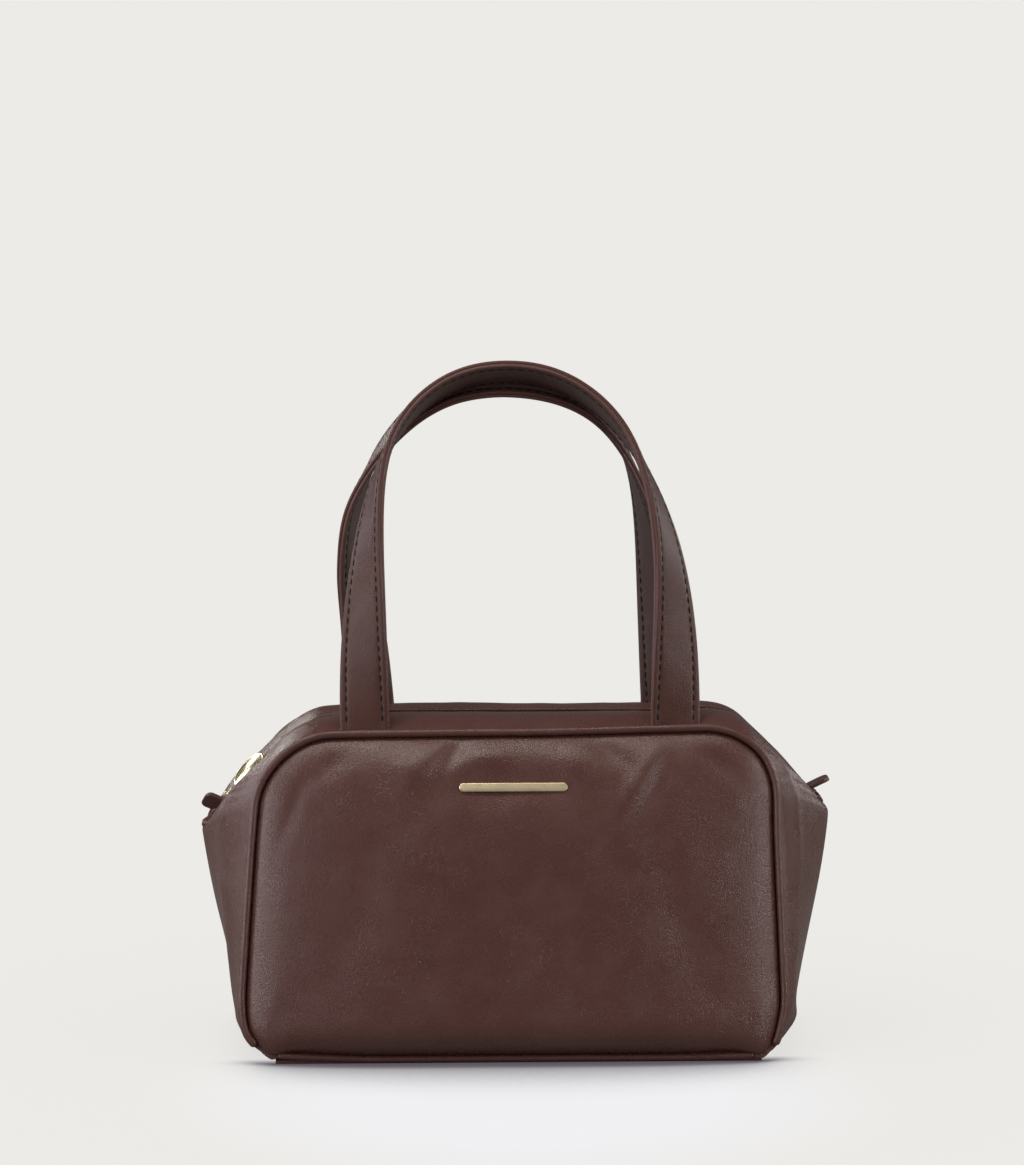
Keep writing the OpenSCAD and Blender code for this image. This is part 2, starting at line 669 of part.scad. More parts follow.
module strap_layer(outline, top, offset) {
  half = [for (i = [0:strap_steps]) strap_frame(i / strap_steps, top, offset)];
  sweep(concat(
    [for (i = [0:strap_steps]) strap_ring(half[i], outline, 1)],
    [for (i = [strap_steps - 1:-1:0]) strap_ring(half[i], outline, -1)]));
}

// Outlines of the three layers across a strap, each written as width and height
core_share = 0.22;
edge_share = 0.2;
strap_core_t = strap_t * core_share;
strap_edge = strap_t * edge_share;
strap_half = strap_w / 2;
core_top = strap_core_t / 2;
face_under = core_top + layer_gap;
face_outline = [
  [-strap_half, face_under], [strap_half, face_under], [strap_half, strap_t / 2 - strap_edge],
  [strap_half - 2 * strap_edge, strap_t / 2], [2 * strap_edge - strap_half, strap_t / 2],
  [-strap_half, strap_t / 2 - strap_edge]];
core_outline = [
  [-strap_half, -core_top], [strap_half, -core_top], [strap_half, core_top], [-strap_half, core_top]];
backing_outline = [
  [-strap_half, -strap_t / 2], [strap_half, -strap_t / 2],
  [strap_half, -face_under], [-strap_half, -face_under]];

// A plain bar in the place of a maker's sign, laid on the slope of the puffed leather
bar_x = -2;
bar_rise = 3.5;
bar_turn = -6.3;
module front_bar() color("gold") in_panel_plane()
  translate([bar_x, (bar_height - seam_foot) / cos(lean), bar_rise]) rotate([bar_turn, 0, 0])
    linear_extrude(bar_t) hull() for (side = [-1, 1])
      translate([side * (bar_l - bar_h) / 2, 0]) circle(r = bar_h / 2);

root_drop = 1;
module strap_roots() color("#50352f") in_panel_plane() for (side = [-1, 1])
  translate([
    side * leg_reach - strap_half, seam_rise - root_drop - strap_root_l,
    gap - panel_lining_depth])
    cube([strap_w, strap_root_l, strap_t / 2]);

panel();  // front_panel
rear() panel();  // rear_panel
piping();  // front_piping
rear() piping();  // rear_piping
piping_cord();  // front_piping_cord
rear() piping_cord();  // rear_piping_cord
gusset_strip();  // front_gusset_strip
rear() gusset_strip();  // rear_gusset_strip
base_panel();
base_board();
base_lining();
panel_lining();  // front_lining
rear() panel_lining();  // rear_lining
gusset_lining();  // front_gusset_lining
rear() gusset_lining();  // rear_gusset_lining
rear() slip_pocket();
zip_tape();  // front_zip_tape
rear() zip_tape();  // rear_zip_tape
zip_teeth(0);  // front_zip_teeth
rear() zip_teeth(tooth_pitch / 2);  // rear_zip_teeth
zip_stops();
zip_slider();
zip_slider_back();
zip_pull_link();
zip_pull_disc();
end_tab(-1);  // left_end_tab
end_tab(1);  // right_end_tab
color("#553934") strap_layer(face_outline, front_arch_height, front_arch_offset);  // front_handle
color("#8a6a5a") strap_layer(core_outline, front_arch_height, front_arch_offset);  // front_handle_core
color("#4a302b") strap_layer(backing_outline, front_arch_height, front_arch_offset);  // front_handle_backing
color("#553934") rear() strap_layer(face_outline, rear_arch_height, rear_arch_offset);  // rear_handle
color("#8a6a5a") rear() strap_layer(core_outline, rear_arch_height, rear_arch_offset);  // rear_handle_core
color("#4a302b") rear() strap_layer(backing_outline, rear_arch_height, rear_arch_offset);  // rear_handle_backing
strap_roots();  // front_handle_roots
rear() strap_roots();  // rear_handle_roots
front_bar();
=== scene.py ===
"""A small leather top handle bag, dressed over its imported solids.

The body is two puffed leather panels with piped seams, joined by two gusset strips that leave a
zip between them, and two flat straps rise out of the seams behind the piping. Sizes are in
millimetres up to the last step of each piece, where its mesh is scaled to metres.
"""

from __future__ import annotations

import json
import logging
import math
from dataclasses import dataclass, field
from enum import Enum
from functools import cached_property
from typing import Any, Callable, Iterable, Sequence

import bmesh
import bpy
from mathutils import Matrix, Vector, noise

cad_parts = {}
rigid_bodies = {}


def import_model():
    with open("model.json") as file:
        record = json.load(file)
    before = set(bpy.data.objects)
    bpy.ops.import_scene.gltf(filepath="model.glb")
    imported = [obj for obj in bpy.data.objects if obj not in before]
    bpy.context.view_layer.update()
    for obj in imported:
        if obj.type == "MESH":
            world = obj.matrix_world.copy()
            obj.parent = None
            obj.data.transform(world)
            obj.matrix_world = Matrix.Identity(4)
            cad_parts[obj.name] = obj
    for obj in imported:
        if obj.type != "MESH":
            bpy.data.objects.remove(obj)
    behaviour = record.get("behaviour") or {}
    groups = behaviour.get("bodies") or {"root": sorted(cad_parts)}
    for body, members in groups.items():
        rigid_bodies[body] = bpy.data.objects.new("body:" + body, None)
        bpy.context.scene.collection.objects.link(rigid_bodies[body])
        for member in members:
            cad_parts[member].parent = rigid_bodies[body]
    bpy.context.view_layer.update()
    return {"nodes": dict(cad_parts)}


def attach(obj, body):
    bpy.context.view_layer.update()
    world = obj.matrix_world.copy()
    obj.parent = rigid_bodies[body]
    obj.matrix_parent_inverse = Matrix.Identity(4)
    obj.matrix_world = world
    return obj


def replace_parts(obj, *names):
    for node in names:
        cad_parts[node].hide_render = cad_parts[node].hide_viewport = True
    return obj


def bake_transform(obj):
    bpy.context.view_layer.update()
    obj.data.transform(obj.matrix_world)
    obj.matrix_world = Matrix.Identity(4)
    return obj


LOG = logging.getLogger("bag")
MM = 0.001
INSIDE = Vector((0.0, 0.0, 60.0))
Place = Callable[[float, float], Vector]


class Side(Enum):
    """The two faces of the bag, by the sign of their Y."""

    FRONT = -1
    REAR = 1

    @property
    def label(self) -> str:
        """The word that the names of this side's pieces start with."""
        return self.name.lower()


class Hand(Enum):
    """The two ends of the bag, by the sign of their X."""

    LEFT = -1
    RIGHT = 1


def lerp(a: Any, b: Any, t: float) -> Any:
    """The value a share t of the way from a to b."""
    return a + (b - a) * t


def ease(low: float, high: float, value: float) -> float:
    """A share that rises smoothly from 0 at low to 1 at high."""
    t = min(1.0, max(0.0, (value - low) / (high - low)))
    return t * t * (3.0 - 2.0 * t)


def bump_at(value: float, middle: float, width: float) -> float:
    """A soft bell of height 1 round middle, of that half width."""
    return math.exp(-(((value - middle) / width) ** 2))


@dataclass(frozen=True)
class Bump:
    """A soft bell: its height, the place of its middle and its half width."""

    size: float
    middle: float
    width: float

    def at(self, value: float) -> float:
        """The bell's height at a value."""
        return self.size * bump_at(value, self.middle, self.width)


def rounded_corner(a: Vector, b: Vector, c: Vector, radius: float, steps: int) -> list[Vector]:
    """Points of a rounded corner.

    Args:
        a: A point before the corner.
        b: The corner itself.
        c: A point after the corner.
        radius: Radius of the rounding.
        steps: Number of steps along the arc.

    Returns:
        The points of the arc, from the side of a to the side of c.
    """
    u, w = (a - b).normalized(), (c - b).normalized()
    half = math.acos(max(-1.0, min(1.0, u.dot(w)))) / 2.0
    middle = b + (u + w).normalized() * (radius / math.sin(half))
    start = b + u * (radius / math.tan(half)) - middle
    end = b + w * (radius / math.tan(half)) - middle
    sweep = math.pi - 2.0 * half
    return [
        middle
        + (start * math.sin(sweep * (1 - i / steps)) + end * math.sin(sweep * i / steps))
        / math.sin(sweep)
        for i in range(steps + 1)
    ]


def along(points: Sequence[Vector], share: float) -> Vector:
    """The point a share of the way along a list of points that are evenly counted.

    Args:
        points: Two points or more.
        share: Share of the way, from 0 at the first point to 1 at the last.

    Returns:
        The point on the line between its two neighbours.
    """
    at = min(1.0, max(0.0, share)) * (len(points) - 1)
    i = min(int(at), len(points) - 2)
    return points[i].lerp(points[i + 1], at - i)


def through(keys: Sequence[float], share: float) -> float:
    """The value a share of the way along a smooth curve through evenly spaced keys.

    Args:
        keys: Two values or more that the curve goes through.
        share: Share of the way, from 0 at the first key to 1 at the last.

    Returns:
        The curve's value.
    """
    at = min(1.0, max(0.0, share)) * (len(keys) - 1)
    i = min(int(at), len(keys) - 2)
    t = at - i
    a, b = keys[i], keys[i + 1]
    before = keys[i - 1] if i > 0 else 2 * a - b
    after = keys[i + 2] if i + 2 < len(keys) else 2 * b - a
    return (
        a
        + 0.5 * t * (b - before)
        + t * t * (before - 2.5 * a + 2 * b - 0.5 * after)
        + 0.5 * t**3 * (3 * (a - b) + after - before)
    )


def out_of(points: Sequence[Vector], i: int) -> Vector:
    """Outward normal of a line in its own plane, which runs from the left foot to the right.

    Args:
        points: The points of the line.
        i: Number of the point whose normal is wanted.

    Returns:
        The normal as a unit vector.
    """
    a, b = points[max(0, i - 1)], points[min(len(points) - 1, i + 1)]
    d = (b - a).normalized()
    return Vector((-d.y, d.x))


@dataclass(frozen=True)
class Drift:
    """A place where the front's soft leather has moved within its own plane."""

    x: float
    h: float
    reach: float
    aside: float
    up: float

    def share(self, p: Vector) -> float:
        """How strongly a point of the plane follows the drift, from 0 to 1."""
        return bump_at(p.x, self.x, self.reach) * bump_at(p.y, self.h, self.reach)


@dataclass(frozen=True)
class LowCorner:
    """How the front's leather has settled at one of its lower corners."""

    aside: float
    height: float
    reach: float
    lift: float
    start: float

    def shift(self, h: float, edge: float) -> float:
        """How far the side above the corner has moved along X, at a height of the plane."""
        return self.aside * edge * bump_at(h, self.height, self.reach)

    def rise(self, right: float, low: float) -> float:
        """How far the foot has lifted, at a share of the half width."""
        return self.lift * low * ease(self.start, 1.0, abs(right))


@dataclass(frozen=True)
class BagForm:
    """The driving sizes of the body and the lines that its pieces share, in millimetres."""

    seam_reach_base: float = 111.6
    seam_reach_top: float = 105.0
    seam_height: float = 132.5
    seam_depth_base: float = 57.0
    seam_depth_top: float = 35.3
    upper_corner: float = 31.0
    lower_corner: float = 12.0
    piping: float = 1.6
    piping_rise: float = 0.4
    gap: float = 0.3
    wing_reach: float = 130.5
    wing_height: float = 92.5
    side_reach: float = 115.5
    ridge_height: float = 138.0
    top_reach: float = 88.0
    shoulder: float = 24.0
    wing_tip: float = 5.0
    ridge_offset: float = 10.5
    lip_offset: float = 6.2
    lip_drop: float = 0.95
    zip_drop: float = 3.0
    left_sag: float = 3.2
    right_rise: float = 2.8
    sag_start: float = 56.0
    sag_end: float = 94.0
    left_swell: Bump = Bump(size=2.4, middle=31.0, width=22.0)
    right_swell: Bump = Bump(size=2.0, middle=76.0, width=34.0)
    right_swell_ends: tuple[float, float] = (88.0, 110.0)
    shift_head: float = 0.6
    shift_foot: float = 1.9
    right_lift: float = 1.3
    left_drop: float = 0.4
    tilt_reach: float = 0.7
    corner_start: float = 0.78
    corner_power: int = 8
    left_top: Drift = Drift(x=-95.0, h=121.0, reach=20.0, aside=1.0, up=-1.0)
    right_top: Drift = Drift(x=95.0, h=121.0, reach=20.0, aside=1.6, up=0.9)
    left_foot: LowCorner = LowCorner(aside=4.2, height=0.0, reach=14.0, lift=2.2, start=0.5)
    right_foot: LowCorner = LowCorner(aside=-2.4, height=9.0, reach=8.0, lift=1.2, start=0.6)
    valley_start: float = 7.0
    valley_end: float = 11.0
    corner_steps: int = 10
    side_steps: int = 28
    wing_steps: int = 66
    top_steps: int = 30

    @cached_property
    def seam_foot(self) -> float:
        """Height of the lower run of the panel seam."""
        return self.piping_rise + self.piping

    @cached_property
    def lean(self) -> float:
        """Angle by which a panel's plane leans back from the vertical."""
        return math.atan(
            (self.seam_depth_base - self.seam_depth_top) / (self.seam_height - self.seam_foot)
        )

    @cached_property
    def seam_rise(self) -> float:
        """Length of a panel's plane from its lower to its upper seam."""
        return (self.seam_height - self.seam_foot) / math.cos(self.lean)

    def hang(self, p: Vector) -> Vector:
        """A point of the ridge or of the zip's path, moved by the sag of its shoulder.

        Args:
            p: The point as drawn, in the XZ plane.

        Returns:
            The point as it hangs.
        """
        reach = ease(self.sag_start, self.sag_end, abs(p.x))
        down = min(1.0, max(0.0, p.y / (self.wing_height - 2 * self.wing_tip))) ** 2
        sag = self.left_sag if p.x < 0 else -self.right_rise
        return Vector((p.x, p.y - sag * reach * down))

    def settle(self, p: Vector, side: Side) -> Vector:
        """A point of a panel's plane, moved by the way its soft leather hangs.

        Args:
            p: The point as drawn.
            side: The front has settled a little to the left; the rear stays as drawn.

        Returns:
            The point as it hangs.
        """
        if side is Side.REAR:
            return p
        up = p.y / self.seam_rise
        right = p.x / self.seam_reach_top
        lift = self.right_lift * ease(0.0, self.tilt_reach, right)
        drop = self.left_drop * ease(0.0, self.tilt_reach, -right)
        tops = [(drift, drift.share(p)) for drift in (self.left_top, self.right_top)]
        dx = -self.shift_head - self.shift_foot * (1.0 - up)
        dx += sum(drift.aside * share for drift, share in tops)
        dh = up * up * (lift - drop) + sum(drift.up * share for drift, share in tops)
        low = max(0.0, 1.0 - up) ** self.corner_power
        edge = ease(self.corner_start, 1.0, abs(right))
        foot = self.left_foot if p.x < 0 else self.right_foot
        dx += foot.shift(p.y, edge)
        dh += foot.rise(right, low)
        return Vector((p.x + dx, p.y + dh))

    def on_panel(self, p: Vector, n: float) -> Vector:
        """A point of the front panel's plane, moved n in front of it."""
        c, s = math.cos(self.lean), math.sin(self.lean)
        y = -self.seam_depth_base + p.y * s - n * c
        return Vector((p.x, y, self.seam_foot + p.y * c + n * s))

    @cached_property
    def seam_corners(self) -> tuple[list[Vector], list[Vector]]:
        """The lower and the upper rounded corner of the panel seam, at the right."""
        foot = Vector((self.seam_reach_base, 0))
        head = Vector((self.seam_reach_top, self.seam_rise))
        return (
            rounded_corner(Vector((0, 0)), foot, head, self.lower_corner, 14),
            rounded_corner(foot, head, Vector((0, self.seam_rise)), self.upper_corner, 28),
        )

    @cached_property
    def slope(self) -> Vector:
        """Unit vector up the right shoulder, from the wing tip towards the top."""
        tip = Vector((self.wing_reach, self.wing_height))
        return (Vector((self.top_reach, self.ridge_height)) - tip).normalized()

    @cached_property
    def slope_angle(self) -> float:
        """Angle of the shoulders below the level, in radians."""
        return math.atan2(self.slope.y, -self.slope.x)

    @cached_property
    def halves(self) -> tuple[list[Vector], list[Vector], list[float]]:
        """The right half of the seam, of the ridge over it, and of the zip valley's opening.

        Returns:
            Points of the seam in the panel's plane, points of the ridge in the XZ plane, and
            the share by which the valley is open, all counted alike from foot to middle.
        """
        origin = Vector((0, 0))
        side_foot = Vector((self.side_reach, 0))
        tip = Vector((self.wing_reach, self.wing_height))
        shoulder = Vector((self.top_reach, self.ridge_height))
        level = Vector((0, self.ridge_height))
        side_corner = rounded_corner(origin, side_foot, tip, self.lower_corner, 12)
        tip_corner = rounded_corner(side_foot, tip, shoulder, self.wing_tip, 8)
        shoulder_corner = rounded_corner(tip, shoulder, level, self.shoulder, 20)
        lower, upper = self.seam_corners
        stops = [tip_corner[-1], tip + self.slope * self.valley_start]
        stops += [tip + self.slope * self.valley_end]
        stops += [(stops[-1] + shoulder_corner[0]) / 2, shoulder_corner[0]]
        opened = [0, 0, 0.25, 0.7, 1, 1]
        tip_parts, straight_parts, shoulder_parts = 2, 4, 5
        parts = tip_parts + straight_parts + shoulder_parts
        seam, ridge, valley = [], [], []
        for k in range(self.corner_steps + 1):
            seam.append(along(lower, k / self.corner_steps))
            ridge.append(along(side_corner, k / self.corner_steps))
            valley.append(0.0)
        for k in range(1, self.side_steps):
            seam.append(lower[-1].lerp(upper[0], k / self.side_steps))
            ridge.append(side_corner[-1].lerp(tip_corner[0], k / self.side_steps))
            valley.append(0.0)
        for k in range(self.wing_steps + 1):
            q = parts * k / self.wing_steps
            past = q - tip_parts
            seam.append(along(upper, q / parts))
            if past <= 0:
                ridge.append(along(tip_corner, q / tip_parts))
            elif past <= straight_parts:
                ridge.append(along(stops, past / straight_parts))
            else:
                ridge.append(along(shoulder_corner, (past - straight_parts) / shoulder_parts))
            i = min(int(q), len(opened) - 2)
            share = lerp(opened[i], opened[i + 1], ease(0, 1, q - i))
            valley.append(share if q < len(opened) - 1 else 1.0)
        for k in range(1, self.top_steps + 1):
            seam.append(upper[-1].lerp(Vector((0, self.seam_rise)), k / self.top_steps))
            ridge.append(shoulder_corner[-1].lerp(level, k / self.top_steps))
            valley.append(1.0)
        return seam, ridge, valley

    @cached_property
    def seam_line(self) -> list[Vector]:
        """The seam from the left foot over the top to the right foot."""
        half = self.halves[0]
        return [Vector((-p.x, p.y)) for p in half] + [p.copy() for p in half[-2::-1]]

    @cached_property
    def ridge_line(self) -> list[Vector]:
        """The ridge from the left foot over the top to the right foot.

        Returns:
            Its points in the XZ plane, as the soft sides hang.
        """
        half = self.halves[1]
        line = [Vector((-p.x, p.y)) for p in half] + [p.copy() for p in half[-2::-1]]
        line = [self.hang(p) for p in line]
        for p in line:
            if p.x < 0:
                p.x += self.left_swell.at(p.y)
            else:
                p.x += self.right_swell.at(p.y) * (1.0 - ease(*self.right_swell_ends, p.y))
        return line

    @cached_property
    def valley_line(self) -> list[float]:
        """The zip valley's opening along the whole ridge."""
        half = self.halves[2]
        return half + half[-2::-1]

    @cached_property
    def seam_outline(self) -> list[Vector]:
        """The right half of the panel seam, from the middle of its foot to that of its head."""
        lower, upper = self.seam_corners
        return [Vector((0, 0)), *lower, *upper, Vector((0, self.seam_rise))]

    def seam_reach(self, h: float) -> float:
        """Half width of the panel seam.

        Args:
            h: Height in the panel's plane.

        Returns:
            The distance of the seam from the middle at that height.
        """
        line = self.seam_outline[1:-1]
        if h <= line[0].y:
            return line[0].x
        for a, b in zip(line, line[1:]):
            if a.y <= h <= b.y:
                return lerp(a.x, b.x, (h - a.y) / max(1e-6, b.y - a.y))
        return line[-1].x

    def from_seam(self, x: float, h: float) -> float:
        """Distance of a point of the panel's plane from the seam.

        Args:
            x: The point's place along X.
            h: Its height in the plane.

        Returns:
            The shortest distance, never negative.
        """
        p, best = Vector((abs(x), h)), 1e9
        for a, b in zip(self.seam_outline, self.seam_outline[1:]):
            d = b - a
            t = min(1.0, max(0.0, (p - a).dot(d) / max(1e-9, d.length_squared)))
            best = min(best, (p - a - d * t).length_squared)
        return math.sqrt(best)


FORM = BagForm()


class Shell:
    """A bmesh on its way from one of Blender's simple shapes to a finished piece."""

    def __init__(self, name: str) -> None:
        """Starts an empty shell.

        Args:
            name: Name of the piece that it becomes.
        """
        self.name = name
        self.bm = bmesh.new()
        self.uv = self.bm.loops.layers.uv.new("UVMap")

    def grid(self, columns: int, rows: int, place: Place, closed: bool = False) -> "Shell":
        """Adds a grid and moves each of its points to a place.

        Args:
            columns: Number of faces along u.
            rows: Number of faces along v.
            place: Gives the place of the point at u and v, which run from 0 to 1.
            closed: Whether the edges of the grid meet, and are joined.

        Returns:
            The shell itself.
        """
        made = bmesh.ops.create_grid(
            self.bm, x_segments=columns, y_segments=rows, size=0.5, calc_uvs=True
        )
        for v in made["verts"]:
            v.co = place(v.co.x + 0.5, v.co.y + 0.5)
        if closed:
            bmesh.ops.remove_doubles(self.bm, verts=self.bm.verts, dist=0.002)
        return self

    def disc(self, points: Sequence[Vector]) -> list[bmesh.types.BMFace]:
        """Adds a circle's face and moves its corners to an outline.

        Args:
            points: The corners of the outline.

        Returns:
            The faces inside it.
        """
        made = bmesh.ops.create_circle(self.bm, cap_ends=True, segments=len(points), radius=1.0)
        for v, p in zip(made["verts"], points):
            v.co = p
        return list({f for v in made["verts"] for f in v.link_faces})

    def thicken(self, faces: Iterable[bmesh.types.BMFace], by: Vector) -> None:
        """Extrudes faces by a vector, so that they get a wall.

        Args:
            faces: The faces to extrude.
            by: Height and direction of the wall.
        """
        faces = list(faces)
        kept = bmesh.ops.duplicate(self.bm, geom=faces)["geom"]
        lids = [g for g in kept if isinstance(g, bmesh.types.BMFace)]
        bmesh.ops.reverse_faces(self.bm, faces=lids)
        made = bmesh.ops.extrude_face_region(self.bm, geom=faces)["geom"]
        bmesh.ops.translate(
            self.bm, vec=by, verts=[g for g in made if isinstance(g, bmesh.types.BMVert)]
        )
        bmesh.ops.delete(self.bm, geom=faces, context="FACES")
        bmesh.ops.remove_doubles(self.bm, verts=self.bm.verts, dist=0.0005)
        bmesh.ops.recalc_face_normals(self.bm, faces=self.bm.faces)

    def round_edges(self, width: float, segments: int = 3, sharper_than: float = 0.6) -> None:
        """Bevels every edge whose faces meet at more than an angle.

        Args:
            width: Width of the bevel on each face.
            segments: Number of faces across the bevel.
            sharper_than: The angle in radians.
        """
        inner = [e for e in self.bm.edges if len(e.link_faces) == 2]
        edges = [e for e in inner if e.calc_face_angle(0) > sharper_than]
        bmesh.ops.bevel(
            self.bm,
            geom=edges,
            offset=width,
            offset_type="OFFSET",
            affect="EDGES",
            segments=segments,
            profile=0.5,
            material=-1,
            clamp_overlap=True,
        )

    def take(self, other: "Shell") -> None:
        """Moves the faces of another shell into this one.

        Args:
            other: The shell that is emptied.
        """
        mesh = bpy.data.meshes.new("passing")
        other.bm.to_mesh(mesh)
        other.bm.free()
        self.bm.from_mesh(mesh)
        bpy.data.meshes.remove(mesh)

    def face_away(self, inside: Vector) -> "Shell":
        """Turns an open shell so that its faces look away from a point.

        Args:
            inside: A point behind the faces.

        Returns:
            The shell itself.
        """
        bmesh.ops.recalc_face_normals(self.bm, faces=self.bm.faces)
        total = sum(
            f.normal.dot(f.calc_center_median() - inside) * f.calc_area() for f in self.bm.faces
        )
        if total < 0:
            bmesh.ops.reverse_faces(self.bm, faces=self.bm.faces)
        return self

    def piece(
        self, material: bpy.types.Material, slot: str, smooth: float = 180.0
    ) -> bpy.types.Object:
        """Makes the object of a shell.

        Args:
            material: The finish of the piece.
            slot: Not used; the record's material slot that it belongs to.
            smooth: Angle in degrees above which an edge stays sharp.

        Returns:
            The new object, at the origin and in metres.
        """
        bmesh.ops.scale(self.bm, vec=(MM, MM, MM), verts=self.bm.verts)
        for f in self.bm.faces:
            f.smooth = True
        for e in self.bm.edges:
            e.smooth = len(e.link_faces) != 2 or e.calc_face_angle(0) < math.radians(smooth)
        mesh = bpy.data.meshes.new(self.name)
        self.bm.to_mesh(mesh)
        self.bm.free()
        mesh.materials.append(material)
        made = bpy.data.objects.new(self.name, mesh)
        bpy.context.scene.collection.objects.link(made)
        LOG.info("%s: %d faces", self.name, len(mesh.polygons))
        return made


def solid(piece: bpy.types.Object, thickness: float) -> None:
    """Gives a sheet its thickness, inwards from its face.

    Args:
        piece: The object of the sheet.
        thickness: The thickness in millimetres.
    """
    wall = piece.modifiers.new("thickness", "SOLIDIFY")
    wall.thickness = thickness * MM
    wall.offset = -1.0
    wall.use_even_offset = False


class Wire:
    """A shader socket that takes part in sums."""

    def __init__(self, graph: "Graph", socket: bpy.types.NodeSocket) -> None:
        """Wraps a socket of a graph."""
        self.graph = graph
        self.socket = socket

    def maths(self, operation: str, *others: Any) -> "Wire":
        """The result of a Math node on this value and others."""
        values = {i: v for i, v in enumerate((self, *others))}
        return self.graph.add("ShaderNodeMath", {"operation": operation}, values)

    def __add__(self, other: Any) -> "Wire":
        """This value plus another."""
        return self.maths("ADD", other)

    __radd__ = __add__

    def __mul__(self, other: Any) -> "Wire":
        """This value times another."""
        return self.maths("MULTIPLY", other)

    __rmul__ = __mul__

    def __sub__(self, other: Any) -> "Wire":
        """This value less another."""
        return self.maths("SUBTRACT", other)

    def __rsub__(self, other: Any) -> "Wire":
        """Another value less this one."""
        return self.graph.add("ShaderNodeMath", {"operation": "SUBTRACT"}, {0: other, 1: self})

    def __pow__(self, other: Any) -> "Wire":
        """This value to a power."""
        return self.maths("POWER", other)

    def span(self, low: float, high: float, start: float = 0.0, end: float = 1.0) -> "Wire":
        """This value mapped smoothly from low and high to start and end."""
        return self.graph.add(
            "ShaderNodeMapRange",
            {"interpolation_type": "SMOOTHSTEP"},
            {"Value": self, "From Min": low, "From Max": high, "To Min": start, "To Max": end},
        )


class Graph:
    """The node tree of a material or of the world."""

    def __init__(
        self,
        owner: bpy.types.Material | bpy.types.World,
        end: str = "ShaderNodeOutputMaterial",
    ) -> None:
        """Empties the tree of its owner and gives it an output.

        Args:
            owner: The new material or world.
            end: Type of its output node.
        """
        self.owner = owner
        owner.use_nodes = True
        self.tree = owner.node_tree
        self.tree.nodes.clear()
        self.out = self.node(end, {}, {})

    def node(self, kind: str, settings: dict[str, Any], values: dict[Any, Any]) -> bpy.types.Node:
        """Adds a node.

        Args:
            kind: The node's type.
            settings: Attributes of the node, set before its sockets.
            values: Values or wires of its input sockets, by name or number.

        Returns:
            The new node.
        """
        made = self.tree.nodes.new(kind)
        for key, value in settings.items():
            setattr(made, key, value)
        for key, value in values.items():
            socket = made.inputs[key]
            if isinstance(value, Wire):
                self.tree.links.new(value.socket, socket)
            elif isinstance(value, tuple) and len(value) == 3 and socket.type == "RGBA":
                socket.default_value = (*value, 1.0)
            else:
                socket.default_value = value
        return made

    def add(
        self, kind: str, settings: dict[str, Any], values: dict[Any, Any], output: Any = 0
    ) -> Wire:
        """Adds a node and gives one of its outputs."""
        return Wire(self, self.node(kind, settings, values).outputs[output])

    def place(self, scale: tuple[float, float, float] = (1.0, 1.0, 1.0), turn: float = 0.0) -> Wire:
        """The place on the piece in metres, stretched by a scale and turned about Y."""
        at = self.add("ShaderNodeTexCoord", {}, {}, "Object")
        return self.add(
            "ShaderNodeMapping", {}, {"Vector": at, "Rotation": (0.0, turn, 0.0), "Scale": scale}
        )

    def noise(self, at: Wire, scale: float, detail: float = 2.0, rough: float = 0.5) -> Wire:
        """Soft noise of a scale, as waves per metre."""
        values = {"Vector": at, "Scale": scale, "Detail": detail, "Roughness": rough}
        return self.add("ShaderNodeTexNoise", {}, values)

    def cells(self, at: Wire, scale: float, feature: str = "F1") -> Wire:
        """Distance to the middle or the edge of cells, as cells per metre."""
        values = {"Vector": at, "Scale": scale}
        return self.add("ShaderNodeTexVoronoi", {"feature": feature}, values)

    def blend(self, share: Any, a: Any, b: Any) -> Wire:
        """A colour between a and b."""
        return self.add("ShaderNodeMix", {"data_type": "RGBA"}, {0: share, 6: a, 7: b}, 2)

    def axes(self, at: Wire) -> tuple[Wire, Wire, Wire]:
        """The three parts of a vector."""
        split = self.node("ShaderNodeSeparateXYZ", {}, {0: at})
        return tuple(Wire(self, o) for o in split.outputs)

    def bend(self, at: Wire, scale: float, reach: float) -> Wire:
        """A place moved about by soft noise, by up to half of reach metres."""
        shift = self.add(
            "ShaderNodeTexNoise", {}, {"Vector": at, "Scale": scale, "Detail": 1.0}, "Color"
        )
        return self.add(
            "ShaderNodeVectorMath",
            {"operation": "MULTIPLY_ADD"},
            {0: shift, 1: (reach, reach, reach), 2: at},
        )

    def relief(
        self, height: Wire, depth: float, strength: float = 1.0, over: Wire | None = None
    ) -> Wire:
        """A normal bumped by a height, whose full range is depth metres.

        Args:
            height: The height, from 0 to 1.
            depth: The range of the height in metres, negative for a groove.
            strength: Share of the bump that is kept.
            over: A normal that is bumped further.

        Returns:
            The new normal.
        """
        values = {"Height": height, "Distance": abs(depth), "Strength": strength}
        if over is not None:
            values["Normal"] = over
        return self.add("ShaderNodeBump", {"invert": depth < 0}, values)

    def surface(self, **values: Any) -> bpy.types.Material:
        """Closes the material with a Principled shader.

        Args:
            **values: Values or wires of its sockets, with _ for a space in their names.

        Returns:
            The finished material.
        """
        named = {k.replace("_", " "): v for k, v in values.items()}
        self.close(self.add("ShaderNodeBsdfPrincipled", {}, named))
        return self.owner

    def close(self, shader: Wire) -> None:
        """Joins a shader to the output."""
        self.tree.links.new(shader.socket, self.out.inputs["Surface"])


